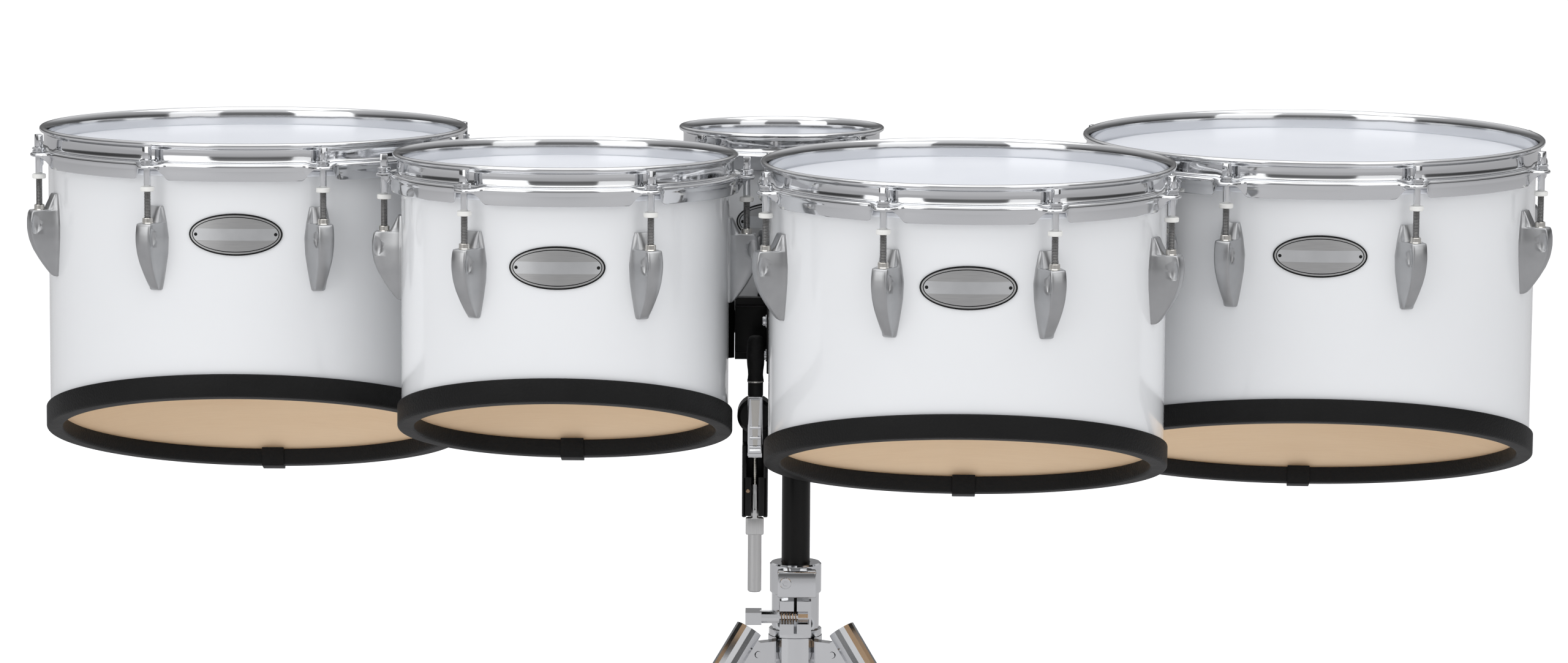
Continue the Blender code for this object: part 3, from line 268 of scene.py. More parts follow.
BIRCH = birch_finish()
FILM = film_finish()
RUBBER = rubber_finish()
PAINT = paint_finish()
NYLON = nylon_finish()


# Mesh making

def close_up(bm):
    bmesh.ops.remove_doubles(bm, verts=bm.verts, dist=1e-7)
    bmesh.ops.recalc_face_normals(bm, faces=bm.faces)
    mesh = bpy.data.meshes.new("shape")
    bm.to_mesh(mesh)
    bm.free()
    return mesh


def skin(rings, ring_closed=True, loop=False):
    """Quads between rings of points. A ring of one point is a pole, open ends get flat lids."""
    bm = bmesh.new()
    made = [[bm.verts.new(point) for point in ring] for ring in rings]
    pairs = list(zip(made, made[1:]))
    if loop:
        pairs.append((made[-1], made[0]))
    for upper, lower in pairs:
        count = max(len(upper), len(lower))
        for step in range(count if ring_closed else count - 1):
            after = (step + 1) % count
            corners = []
            for ring, order in ((upper, (step, after)), (lower, (after, step))):
                corners += [ring[0]] if len(ring) == 1 else [ring[index] for index in order]
            bm.faces.new(corners)
    if not loop:
        for ring in (made[0], made[-1]):
            if len(ring) > 2:
                bm.faces.new(ring)
    return close_up(bm)


def lathe(profile, sides=ROUND_SIDES, slope=0.0):
    """Spin (radius, z) round Z. A third value True lets the point follow the slanted cut."""
    rings = []
    for point in profile:
        radius, height = point[0], point[1]
        tilt = slope if len(point) > 2 else 0.0
        if radius < 1e-9:
            rings.append([(0, 0, height)])
            continue
        ring = []
        for step in range(sides):
            angle = 2 * math.pi * step / sides
            x, y = radius * math.sin(angle), -radius * math.cos(angle)
            ring.append((x, y, height - tilt * y))
        rings.append(ring)
    return skin(rings, loop=len(rings[0]) > 1)


def prism(outline, low, high):
    return skin([[(x, y, z) for x, y in outline] for z in (low, high)])


def block(low, high):
    return prism(((low[0], low[1]), (high[0], low[1]), (high[0], high[1]), (low[0], high[1])),
                 low[2], high[2])


def moved(mesh, matrix):
    copy = mesh.copy()
    copy.transform(matrix)
    return copy


def softened(mesh, width, segments=2, angle=40):
    """Round the edges that are sharper than an angle in degrees."""
    bm = bmesh.new()
    bm.from_mesh(mesh)
    edges = [edge for edge in bm.edges if edge.is_manifold and edge.calc_face_angle() > math.radians(angle)]
    bmesh.ops.bevel(bm, geom=edges, offset=width, segments=segments, profile=0.5, affect="EDGES",
                    clamp_overlap=True)
    return close_up(bm)


def combined(base, tool, operation="DIFFERENCE"):
    holder = bpy.data.objects.new("base", base)
    cutter = bpy.data.objects.new("tool", tool)
    for thing in (holder, cutter):
        bpy.context.scene.collection.objects.link(thing)
    modifier = holder.modifiers.new("combine", "BOOLEAN")
    modifier.operation = operation
    modifier.solver = "EXACT"
    modifier.object = cutter
    evaluated = holder.evaluated_get(bpy.context.evaluated_depsgraph_get())
    mesh = bpy.data.meshes.new_from_object(evaluated)
    for thing in (holder, cutter):
        bpy.data.objects.remove(thing, do_unlink=True)
    return mesh


def joined(*meshes):
    bm = bmesh.new()
    for mesh in meshes:
        bm.from_mesh(mesh)
    mesh = bpy.data.meshes.new("shape")
    bm.to_mesh(mesh)
    bm.free()
    return mesh


def ring_tree():
    """Geometry Nodes tree that repeats a shape round Z, built once and used by every drum."""
    tree = bpy.data.node_groups.new("repeat_round", "GeometryNodeTree")
    for label, kind in (("Count", "NodeSocketInt"), ("First Angle", "NodeSocketFloat"),
                        ("Finish", "NodeSocketMaterial"), ("Shape", "NodeSocketObject")):
        tree.interface.new_socket(label, in_out="INPUT", socket_type=kind)
    tree.interface.new_socket("Geometry", in_out="OUTPUT", socket_type="NodeSocketGeometry")

    def add(kind, **settings):
        node = tree.nodes.new(kind)
        for key, value in settings.items():
            setattr(node, key, value)
        return node

    given = add("NodeGroupInput")
    points = add("GeometryNodePoints")
    index = add("GeometryNodeInputIndex")
    turn = add("ShaderNodeMath", operation="DIVIDE")
    turn.inputs[0].default_value = 2 * math.pi
    step = add("ShaderNodeMath", operation="MULTIPLY_ADD")
    angles = add("ShaderNodeCombineXYZ")
    shape = add("GeometryNodeObjectInfo")
    copies = add("GeometryNodeInstanceOnPoints")
    realize = add("GeometryNodeRealizeInstances")
    paint = add("GeometryNodeSetMaterial")
    result = add("NodeGroupOutput")
    for start, end in (
        (given.outputs["Count"], points.inputs["Count"]),
        (given.outputs["Count"], turn.inputs[1]),
        (index.outputs[0], step.inputs[0]),
        (turn.outputs[0], step.inputs[1]),
        (given.outputs["First Angle"], step.inputs[2]),
        (step.outputs[0], angles.inputs["Z"]),
        (given.outputs["Shape"], shape.inputs["Object"]),
        (points.outputs[0], copies.inputs["Points"]),
        (shape.outputs["Geometry"], copies.inputs["Instance"]),
        (angles.outputs[0], copies.inputs["Rotation"]),
        (copies.outputs[0], realize.inputs[0]),
        (realize.outputs[0], paint.inputs["Geometry"]),
        (given.outputs["Finish"], paint.inputs["Material"]),
        (paint.outputs[0], result.inputs[0]),
    ):
        tree.links.new(start, end)
    return tree


RING_TREE = ring_tree()


def repeated(mesh, count, first_degrees, material):
    """The shape at the drum's front, repeated round its axis, as one plain mesh."""
    source = bpy.data.objects.new("shape", mesh)
    holder = bpy.data.objects.new("holder", bpy.data.meshes.new("holder"))
    for thing in (source, holder):
        bpy.context.scene.collection.objects.link(thing)
    modifier = holder.modifiers.new("repeat", "NODES")
    modifier.node_group = RING_TREE
    values = {"Count": count, "First Angle": math.radians(first_degrees), "Finish": material, "Shape": source}
    for item in RING_TREE.interface.items_tree:
        if item.name in values:
            modifier[item.identifier] = values[item.name]
    evaluated = holder.evaluated_get(bpy.context.evaluated_depsgraph_get())
    result = bpy.data.meshes.new_from_object(evaluated)
    for thing in (holder, source):
        bpy.data.objects.remove(thing, do_unlink=True)
    return result


def show(name, mesh, material, slot, body, *nodes, smooth=35):
    """Make the visible piece, paint it, let it ride and hide the nodes it stands for."""
    mesh.name = name
    mesh.materials.clear()
    mesh.materials.append(material)
    mesh.shade_smooth()
    mesh.set_sharp_from_angle(angle=math.radians(smooth))
    thing = bpy.data.objects.new(name, mesh)
    bpy.context.scene.collection.objects.link(thing)
    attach(thing, body)
    if nodes:
        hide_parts(*nodes)
    return thing


def arc(centre, radius, first, last, steps):
    """Points of an arc in (radius, z), angles in degrees."""
    points = []
    for step in range(steps + 1):
        angle = math.radians(first + (last - first) * step / steps)
        points.append((centre[0] + radius * math.cos(angle), centre[1] + radius * math.sin(angle)))
    return points


def eased(value):
    value = min(max(value, 0.0), 1.0)
    return value * value * (3 - 2 * value)


def through(stops, at):
    """Smooth value between stops of (place, value)."""
    for (low, first), (high, last) in zip(stops, stops[1:]):
        if at <= high:
            return first + (last - first) * (at - low) / (high - low)
    return stops[-1][1]


# Drum pieces, each made at the drum's front in its own frame

def shell_layers(tom, radius, slope):
    inner = radius - SHELL_WALL
    between = radius - LACQUER
    skin_layer = lathe((
        (radius, EDGE_TOP - EDGE_DROP_OUT),
        (radius, -tom.depth, True),
        (between, -tom.depth, True),
        (between, EDGE_TOP - EDGE_DROP_OUT + 0.5 * LACQUER),
    ), slope=slope)
    plies = lathe((
        (between - LAYER_GAP, EDGE_TOP - EDGE_DROP_OUT + 0.5 * LACQUER),
        (between - LAYER_GAP, -tom.depth, True),
        (inner, -tom.depth, True),
        (inner, EDGE_TOP - EDGE_DROP_IN),
        (radius - EDGE_PEAK_IN - 0.6 * MM, EDGE_TOP - 0.3 * MM),
        (radius - EDGE_PEAK_IN, EDGE_TOP),
    ), slope=slope)
    return skin_layer, plies


def lug_shape(radius):
    """Die-cast lug: plate on the shell, flat shoulder, narrow nose with a ridge and two half-moon dimples."""
    base_half = ((0, 6.6), (4, 7.8), (12.2, 9.4), (24, 11.0), (37, 10.4), (50, 8.4), (60, 6.6), (65.2, 5.4), (66, 4.6))
    reach = ((0, 2.2), (1, 3.2), (12.2, 8.6), (12.6, 20.4), (14, 21.6), (20, 22.6), (28, 22.6), (36, 21.2),
             (44, 18.2), (52, 13.6), (58, 9.6), (63, 5.8), (65.2, 3.6), (66, 2.0))
    nose_half = ((0, 5.6), (12.2, 6.8), (12.6, 6.3), (24, 6.6), (37, 6.0), (52, 4.9), (62, 4.2), (66, 3.6))
    heights = [0, 0.5, 1.5, 4, 8, 12.2, 12.6, 13.4, 15]
    heights += [17 + 2.5 * step for step in range(18)]
    heights += [61.5, 63, 64.2, 65.2, 65.7, 66]
    rings = []
    for drop in heights:
        half, out, nose = (through(stops, drop) * MM for stops in (base_half, reach, nose_half))
        side = [(half, -LUG_SUNK), (half, 0.9 * MM), (half - 0.5 * MM, 1.5 * MM)]
        corner = min(1.6 * MM, 0.3 * out)
        waist = max(out - corner, 1.7 * MM)
        nose_side = min(nose, half - 0.7 * MM)
        for share in (0.25, 0.5, 0.75, 1.0):
            width = (half - 0.5 * MM) + (nose_side - half + 0.5 * MM) * (1 - (1 - share) ** 1.7)
            side.append((width, 1.5 * MM + (waist - 1.5 * MM) * share))
        side.append((nose_side - 0.35 * corner, waist + 0.7 * corner))
        side.append((nose_side - 1.1 * corner, waist + corner))
        side.append((0.25 * nose_side, waist + corner + 0.25 * MM))
        outline = side + [(-x, y) for x, y in side[::-1]]
        rings.append([(x, -(radius + y), LUG_TOP - drop * MM) for x, y in outline])
    lug = skin(rings)
    for side in (-1, 1):
        dimple = bmesh.new()
        bmesh.ops.create_uvsphere(dimple, u_segments=20, v_segments=12, radius=1.0)
        shape = Matrix.Diagonal((3.4 * MM, 4.6 * MM, 8.5 * MM, 1.0))
        place = Matrix.Translation((side * 8.3 * MM, -(radius + 18.6 * MM), LUG_TOP - 24.0 * MM))
        lug = combined(lug, moved(close_up(dimple), place @ shape))
    return lug


def hoop_shape(tom, radius):
    """Folded hoop: rolled lip, wall, rounded ledge and a skirt that rises to the ledge at every ear."""
    plain = (
        (4.3, 0.0), (5.8, -0.2), (6.8, -1.1), (7.0, -2.3), (6.4, -3.6), (4.9, -4.5), (3.7, -5.3), (3.4, -6.4),
        (3.4, -13.4), (3.8, -14.8), (5.2, -15.4), (7.4, -15.7), (8.7, -16.6), (9.2, -18.2), (8.9, -19.9),
        (8.4, -20.9), (8.2, -22.0), (8.4, -28.7), (8.0, -29.4), (7.0, -29.4), (6.5, -28.7), (6.4, -21.6),
        (5.6, -19.6), (3.6, -18.2), (1.4, -17.2), (1.2, -15.0), (1.2, -5.4), (1.5, -3.6), (2.3, -1.6), (3.2, -0.4),
    )
    ear = (
        (4.3, 0.0), (5.8, -0.2), (6.8, -1.1), (7.0, -2.3), (6.4, -3.6), (4.9, -4.5), (3.7, -5.3), (3.4, -6.4),
        (3.4, -15.0), (3.8, -16.4), (5.4, -17.2), (9.0, -17.4), (15.0, -17.4), (18.2, -17.4), (19.2, -17.8),
        (19.6, -18.5), (19.7, -19.0), (19.6, -19.6), (19.2, -20.2), (18.4, -20.4), (17.0, -20.4), (12.0, -20.4),
        (7.0, -20.2), (4.6, -19.6), (1.6, -18.4), (1.2, -16.4), (1.2, -5.4), (1.5, -3.6), (2.3, -1.6), (3.2, -0.4),
    )
    spread = 2 * math.pi / tom.lugs
    reach = radius + 8 * MM
    offsets = [-15.0, -13.5, -12.0, -10.5, -9.0, -7.5, -6.0, -4.5, -3.0, -1.5, 0.0]
    offsets += [-offset for offset in offsets[-2::-1]]
    between = max(6, int(spread * reach / (5 * MM)) - 6)
    rings = []
    for number in range(tom.lugs):
        centre = spread * (number + 0.5)
        near = [centre + offset * MM / reach for offset in offsets]
        gap_start, gap_end = near[-1], centre + spread + offsets[0] * MM / reach
        rest = [gap_start + (gap_end - gap_start) * step / between for step in range(1, between)]
        for angle in near + rest:
            away = abs((angle / spread) % 1.0 - 0.5) * spread * reach / MM
            ear_share = eased((14.0 - away) / 10.5)
            skirt_share = eased((15.0 - away) / 8.0)
            ring = []
            for place, (first, last) in enumerate(zip(plain, ear)):
                skirt = 16 <= place <= 21
                share = ear_share
                height_share = skirt_share if skirt else ear_share
                out = radius + (first[0] + (last[0] - first[0]) * share) * MM
                height = (first[1] + (last[1] - first[1]) * height_share) * MM
                ring.append((out * math.sin(angle), -out * math.cos(angle), height))
            rings.append(ring)
    return skin(rings, loop=True)


def head_shape(radius):
    top = EDGE_TOP + GAP + HEAD_SKIN
    out = radius + GAP + HEAD_SKIN
    return lathe((
        (0, top),
        (radius - EDGE_PEAK_IN - 3 * MM, top),
        (radius - EDGE_PEAK_IN, top - 0.05 * MM),
        (radius - 0.6 * MM, top - 0.6 * MM),
        (out, EDGE_TOP - EDGE_DROP_OUT),
        (out, HEM_TOP + 0.4 * MM),
        (out + 0.4 * MM, HEM_TOP),
        (radius + GAP + HEM_WIDE - MM, HEM_TOP),
        (radius + GAP + HEM_WIDE, HEM_TOP - MM),
        (radius + GAP + HEM_WIDE, HEM_BOTTOM + MM),
        (radius + GAP + HEM_WIDE - MM, HEM_BOTTOM),
        (radius + GAP, HEM_BOTTOM),
        (radius + GAP, EDGE_TOP - EDGE_DROP_OUT),
        (radius - EDGE_PEAK_IN, EDGE_TOP + GAP),
        (0, EDGE_TOP + GAP),
    ))


def at_rod(mesh, radius):
    return moved(mesh, Matrix.Translation((0, -(radius + ROD_OUT), 0)))


def rod_pieces(radius):
    """Bright head, washers and shank, dark thread, nylon washer and ferrule of one tension rod."""
    washer_top = EAR_TOP + 4.4 * MM
    key = softened(block((-2.9 * MM, -2.9 * MM, washer_top - 0.2 * MM),
                         (2.9 * MM, 2.9 * MM, washer_top + 10.3 * MM)), 0.7 * MM)
    washers = lathe((
        (0, washer_top), (4.6 * MM, washer_top), (5.3 * MM, washer_top - 0.4 * MM),
        (5.3 * MM, washer_top - 1.5 * MM), (4.3 * MM, washer_top - 1.9 * MM), (4.3 * MM, washer_top - 2.3 * MM),
        (5.1 * MM, washer_top - 2.6 * MM), (5.1 * MM, washer_top - 3.9 * MM), (4.6 * MM, washer_top - 4.3 * MM),
        (0, washer_top - 4.3 * MM),
    ), SMALL_SIDES)
    shank = lathe((
        (0, EAR_BOTTOM + MM), (2.8 * MM, EAR_BOTTOM + MM), (2.8 * MM, EAR_BOTTOM - 13.8 * MM),
        (2.4 * MM, EAR_BOTTOM - 14.4 * MM), (0, EAR_BOTTOM - 14.4 * MM),
    ), SMALL_SIDES)
    bright = joined(key, washers, shank)

    pitch = 1.15 * MM
    top = EAR_BOTTOM - 14.2 * MM
    turns = int((top - SHOULDER) / pitch)
    profile = [(0, top), (2.3 * MM, top)]
    for turn in range(turns):
        profile.append((2.65 * MM, top - (turn + 0.35) * pitch))
        profile.append((2.65 * MM, top - (turn + 0.55) * pitch))
        profile.append((2.25 * MM, top - (turn + 0.95) * pitch))
    profile += [(2.3 * MM, SHOULDER), (0, SHOULDER)]
    thread = lathe(profile, 12)

    low = EAR_BOTTOM - 17.5 * MM
    nylon = lathe((
        (2.75 * MM, low + 3.6 * MM), (5.0 * MM, low + 3.6 * MM), (5.5 * MM, low + 3.0 * MM),
        (5.5 * MM, low + 0.6 * MM), (5.0 * MM, low), (2.75 * MM, low),
    ), SMALL_SIDES)
    ferrule = lathe((
        (2.8 * MM, SHOULDER + 4.3 * MM), (3.7 * MM, SHOULDER + 4.3 * MM), (4.1 * MM, SHOULDER + 3.9 * MM),
        (4.1 * MM, SHOULDER + 0.8 * MM), (4.6 * MM, SHOULDER + 0.1 * MM), (2.8 * MM, SHOULDER + 0.1 * MM),
    ), SMALL_SIDES)
    return [at_rod(mesh, radius) for mesh in (bright, thread, nylon, ferrule)]


def guard_shape(tom, radius, slope):
    inner = radius - SHELL_WALL
    low = -tom.depth
    outside = radius + GAP + GUARD_THICK
    inside = inner - GAP - GUARD_THICK
    bottom = low - GUARD_BOTTOM
    rounding = 2.2 * MM
    top_round = 1.3 * MM
    profile = arc((outside - top_round, low + GUARD_HIGH_OUT - top_round), top_round, 90, 0, 4)
    profile += arc((outside - rounding, bottom + rounding), rounding, 0, -90, 5)
    profile += arc((inside + rounding, bottom + rounding), rounding, -90, -180, 5)
    profile += arc((inside + top_round, low + GUARD_HIGH_IN - top_round), top_round, 180, 90, 4)
    profile += [(inner - GAP, low + GUARD_HIGH_IN), (inner - GAP, low - GAP), (radius + GAP, low - GAP),
                (radius + GAP, low + GUARD_HIGH_OUT)]
    return lathe([(point[0], point[1], True) for point in profile], slope=slope)


def clip_shape(tom, radius, slope):
    """Black clip that laps the guard's two ends at the back."""
    inner = radius - SHELL_WALL - GAP - GUARD_THICK
    outer = radius + GAP + GUARD_THICK
    low = -tom.depth
    bottom = low - GUARD_BOTTOM
    lap = 0.8 * MM
    outline = (
        (inner - CLIP_THICK, low + GUARD_HIGH_IN + MM), (inner - CLIP_THICK, bottom - CLIP_THICK),
        (outer + CLIP_THICK, bottom - CLIP_THICK), (outer + CLIP_THICK, low + GUARD_HIGH_OUT + 0.5 * MM),
        (outer - lap, low + GUARD_HIGH_OUT + 0.5 * MM), (outer - lap, bottom + lap),
        (inner + lap, bottom + lap), (inner + lap, low + GUARD_HIGH_IN + MM),
    )
    clip = softened(prism(outline, -CLIP_WIDE / 2, CLIP_WIDE / 2), 0.5 * MM)
    upright = Matrix(((0, 0, 1, 0), (1, 0, 0, 0), (0, 1, 0, 0), (0, 0, 0, 1)))
    shear = Matrix.Identity(4)
    shear[2][1] = -slope
    return moved(clip, shear @ upright)


def oval_plate(radius, drop, wide, high, inside, outside, columns=48, half_limit=None):
    """Plate bent round the shell between two radii, with an oval outline or an oval cut to a band."""
    rings = []
    for step in range(columns + 1):
        across = -math.cos(math.pi * step / columns)
        half = high / 2 * math.sqrt(max(1 - across * across, 0.0016))
        if half_limit is not None:
            half = min(half, half_limit)
        angle = across * wide / 2 / radius
        ring = []
        for reach, side in ((inside, -1), (inside, 1), (outside, 1), (outside, -1)):
            spot = radius + reach
            ring.append((spot * math.sin(angle), -spot * math.cos(angle), -drop + side * half))
        rings.append(ring)
    return skin(rings)


def badge_pieces(radius, drop):
    """Black rim, silver field, fine line, lighter band and two dark rivets. No words."""
    def plate(margin, inside, outside, half_limit=None):
        return oval_plate(radius, drop, BADGE_WIDE - margin, BADGE_HIGH - margin, GAP + inside, GAP + outside,
                          half_limit=half_limit)

    rim = plate(0, 0, 0.90 * MM)
    field = plate(2.6 * MM, 0.5 * MM, 0.96 * MM)
    line = plate(5.0 * MM, 0.6 * MM, 0.98 * MM)
    inner = plate(6.4 * MM, 0.7 * MM, 1.00 * MM)
    band = plate(6.6 * MM, 0.8 * MM, 1.02 * MM, half_limit=4.6 * MM)
    rivets = []
    for side in (-1, 1):
        rivet = lathe([(0, 0.5 * MM)] + arc((0.4 * MM, -0.7 * MM), 1.2 * MM, 70, 0, 4) + [(1.6 * MM, -MM), (0, -MM)],
                      SMALL_SIDES)
        angle = side * (BADGE_WIDE / 2 - 5.4 * MM) / radius
        place = (Matrix.Rotation(angle, 4, "Z") @ Matrix.Translation((0, -(radius + GAP + MM), -drop))
                 @ Matrix.Rotation(math.radians(90), 4, "X"))
        rivets.append(moved(rivet, place))
    return rim, field, line, inner, band, joined(*rivets)


def drum_matrix(tom):
    place = Matrix.Translation((POST.x + tom.x, POST.y + tom.y, HOOP_TOP))
    lean = Matrix.Rotation(math.radians(tom.lean), 4, "X")
    return place @ lean @ Matrix.Rotation(math.radians(tom.turn), 4, "Z")


def dress_drum(tom):
    radius = tom.diameter / 2
    slope = math.tan(math.radians(tom.cut_angle))
    place = drum_matrix(tom)
    first = 180.0 / tom.lugs
    hoop_body = "hoop_" + tom.name

    def put(part, mesh, material, slot, body, *nodes, smooth=35):
        return show(tom.name + "_" + part, moved(mesh, place), material, slot, body, *nodes, smooth=smooth)

    lacquer, plies = shell_layers(tom, radius, slope)
    put("lacquer", lacquer, LACQUERED, "white_lacquer", "set", tom.name + "_shell")
    put("plies", plies, BIRCH, "white_lacquer", "set", tom.name + "_shell")
    put("lugs", repeated(lug_shape(radius), tom.lugs, first, LUG_METAL), LUG_METAL, "white_lacquer", "set",
        tom.name + "_shell", smooth=50)
    put("film", head_shape(radius), FILM, "drum_film", "set", tom.name + "_head")
    put("counter_hoop", hoop_shape(tom, radius), CHROME, "chrome", hoop_body, tom.name + "_hoop", smooth=60)
    bright, thread, nylon, ferrule = rod_pieces(radius)
    for part, mesh, material in (("rods", bright, CHROME), ("threads", thread, THREAD), ("washers", nylon, NYLON),
                                 ("ferrules", ferrule, NICKEL)):
        put(part, repeated(mesh, tom.lugs, first, material), material, "chrome", hoop_body, tom.name + "_hoop")
    put("rubber", guard_shape(tom, radius, slope), RUBBER, "black_rubber", "set", tom.name + "_edge_guard")
    put("clip", clip_shape(tom, radius, slope), RUBBER, "black_rubber", "set", tom.name + "_edge_guard")
    rim, field, line, inner, band, rivets = badge_pieces(radius, tom.badge_drop)
    for part, mesh, material in (("badge_rim", rim, PAINT), ("badge_field", field, BADGE_METAL),
                                 ("badge_line", line, PAINT), ("badge_inner", inner, BADGE_METAL),
                                 ("badge_band", band, BADGE_LIGHT), ("badge_rivets", rivets, PAINT)):
        put(part, mesh, material, "badge_silver", "set", tom.name + "_badge")


# Toggle clamp, drop rod and stand, in the upright frame of the post with z down from the hoops

TOGGLE_X = -32.5 * MM
TOGGLE_Y = -66 * MM
TOGGLE_HALF = 10.1 * MM
TOGGLE_INNER_HALF = 6.6 * MM
PIVOT_Z = -238 * MM
LEVER_Y = TOGGLE_Y - 4.8 * MM
ROD_Y = TOGGLE_Y + 7 * MM
CHEEK_FRONT = -73.3 * MM
WEB_FRONT = -53.3 * MM
WEB_BACK = -49.3 * MM
POST_RADIUS = 11.3 * MM
LOCK_TOP = -337.4 * MM
LOCK_BOTTOM = -362.1 * MM


def along_x(mesh):
    return moved(mesh, Matrix.Rotation(math.radians(90), 4, "Y"))


def along_y(mesh):
    return moved(mesh, Matrix.Rotation(math.radians(-90), 4, "X"))


def shifted(mesh, x, y, z):
    return moved(mesh, Matrix.Translation((x, y, z)))


def bar_round(radius, low, high, edge=0.6 * MM, sides=48):
    """Round bar on Z with chamfered ends."""
    return lathe(((0, high), (radius - edge, high), (radius, high - edge), (radius, low + edge),
                  (radius - edge, low), (0, low)), sides)


def threaded(radius, low, high, pitch=1.3 * MM):
    profile = [(0, high), (radius - 0.4 * MM, high)]
    for turn in range(int((high - low) / pitch)):
        profile.append((radius, high - (turn + 0.4) * pitch))
        profile.append((radius, high - (turn + 0.6) * pitch))
        profile.append((radius - 0.5 * MM, high - (turn + 0.95) * pitch))
    return lathe(profile + [(radius - 0.4 * MM, low), (0, low)], 20)


def at_set(name, mesh, material, slot, body, *nodes, smooth=35):
    place = Matrix.Translation((POST.x, POST.y, HOOP_TOP))
    return show(name, moved(mesh, place), material, slot, body, *nodes, smooth=smooth)


def dress_toggle():
    x = TOGGLE_X
    boss = shifted(along_y(bar_round(14.2 * MM, 0, 26 * MM, 2.4 * MM, 64)), x, TOGGLE_Y, -210 * MM)
    hanger = softened(block((-19.2 * MM, TOGGLE_Y, -225 * MM), (-16.7 * MM, TOGGLE_Y + 18 * MM, -157 * MM)), 0.8 * MM)
    web = softened(block((x - TOGGLE_HALF, WEB_FRONT, -289 * MM), (x + TOGGLE_HALF, WEB_BACK, -210 * MM)), 0.8 * MM)
    body = [boss, hanger, web]
    for low in (-TOGGLE_HALF, TOGGLE_INNER_HALF):
        body.append(softened(block((x + low, CHEEK_FRONT, -289 * MM),
                                   (x + low + 3.5 * MM, WEB_BACK - 0.5 * MM, -232 * MM)), 1.0 * MM))
    # Lips of the cheeks leave a slit for the link, below the swinging lever
    for low, high in ((-TOGGLE_HALF + MM, -2.8 * MM), (2.8 * MM, TOGGLE_HALF - MM)):
        body.append(softened(block((x + low, CHEEK_FRONT, -288 * MM), (x + high, CHEEK_FRONT + 2 * MM, -257 * MM)),
                             0.6 * MM))
    at_set("toggle_frame", joined(*body), PAINT, "black_paint", "set", "toggle_body")
    pin = shifted(along_y(bar_round(1.6 * MM, 0, 1.4 * MM, 0.4 * MM, 20)), x - 5.4 * MM, CHEEK_FRONT - 0.6 * MM,
                  -268 * MM)
    at_set("toggle_pin", pin, BRONZE, "black_paint", "set", "toggle_body")

    channel = softened(block((-5.9 * MM, -4.5 * MM, 0), (5.9 * MM, 4.5 * MM, 45 * MM)), 0.7 * MM)
    channel = combined(channel, block((-4.3 * MM, -6 * MM, 2 * MM), (4.3 * MM, 1.5 * MM, 43 * MM)))
    knuckle = along_x(bar_round(4.5 * MM, -5.9 * MM, 5.9 * MM))
    rungs = [shifted(along_x(bar_round(1.1 * MM, -4.6 * MM, 4.6 * MM, 0.2 * MM, 20)), 0, -1.6 * MM, high * MM)
             for high in (20, 12, 4.5)]
    at_set("toggle_channel", shifted(joined(channel, knuckle, *rungs), x, LEVER_Y, PIVOT_Z), CHROME, "chrome",
           "lever", "toggle_lever")
    wedge = skin([[(side * wide, y, z) for side, y in ((-1, -2.2 * MM), (1, -2.2 * MM), (1, 1.4 * MM), (-1, 1.4 * MM))]
                  for wide, z in ((3.4 * MM, 42 * MM), (1.7 * MM, 6 * MM))])
    at_set("toggle_wedge", shifted(wedge, x, LEVER_Y, PIVOT_Z), NICKEL, "chrome", "lever", "toggle_lever")
    grip = lathe((
        (0, -145.2 * MM), (3.4 * MM, -145.4 * MM), (5.2 * MM, -146.6 * MM), (6.3 * MM, -149 * MM),
        (6.8 * MM, -153 * MM), (7.05 * MM, -158 * MM), (7.05 * MM, -162 * MM), (6.7 * MM, -168 * MM),
        (6.1 * MM, -173 * MM), (5.9 * MM, -176 * MM), (6.2 * MM, -179 * MM), (6.5 * MM, -180.4 * MM), (0, -180.4 * MM),
    ), 48)
    at_set("toggle_rubber", shifted(grip, x, LEVER_Y, 0), RUBBER, "black_rubber", "lever", "toggle_grip", smooth=60)
    at_set("toggle_ring", shifted(bar_round(6.5 * MM, -182 * MM, -180.4 * MM, 0.3 * MM), x, LEVER_Y, 0), NICKEL,
           "black_rubber", "lever", "toggle_grip")
    at_set("toggle_sleeve", shifted(bar_round(6.0 * MM, -192.6 * MM, -182 * MM, 0.4 * MM), x, LEVER_Y, 0), PAINT,
           "black_rubber", "lever", "toggle_grip")

    # Jaw, slotted link and screw
    tab = softened(block((-7.1 * MM, -68.7 * MM, -303.8 * MM), (7.1 * MM, -64.7 * MM, -289.8 * MM)), 1.2 * MM, 3)
    link = softened(block((-1.8 * MM, -68.7 * MM, -291 * MM), (1.8 * MM, -64.7 * MM, -263.5 * MM)), 0.4 * MM)
    link = combined(link, block((-0.6 * MM, -70 * MM, -284 * MM), (0.6 * MM, -63 * MM, -271 * MM)))
    at_set("toggle_tab", shifted(joined(tab, link), x, 0, 0), BRUSHED, "satin_alloy", "jaw", "toggle_jaw")
    screw = threaded(2.1 * MM, -264 * MM, -242.9 * MM)
    at_set("toggle_screw", shifted(screw, x, -66.7 * MM, 0), NICKEL, "satin_alloy", "jaw", "toggle_jaw")
    rod = bar_round(5.4 * MM, -350.5 * MM, -266 * MM, 1.0 * MM)
    at_set("round_rod", shifted(rod, x, ROD_Y, 0), BRUSHED, "satin_alloy", "drop_rod", "drop_rod")

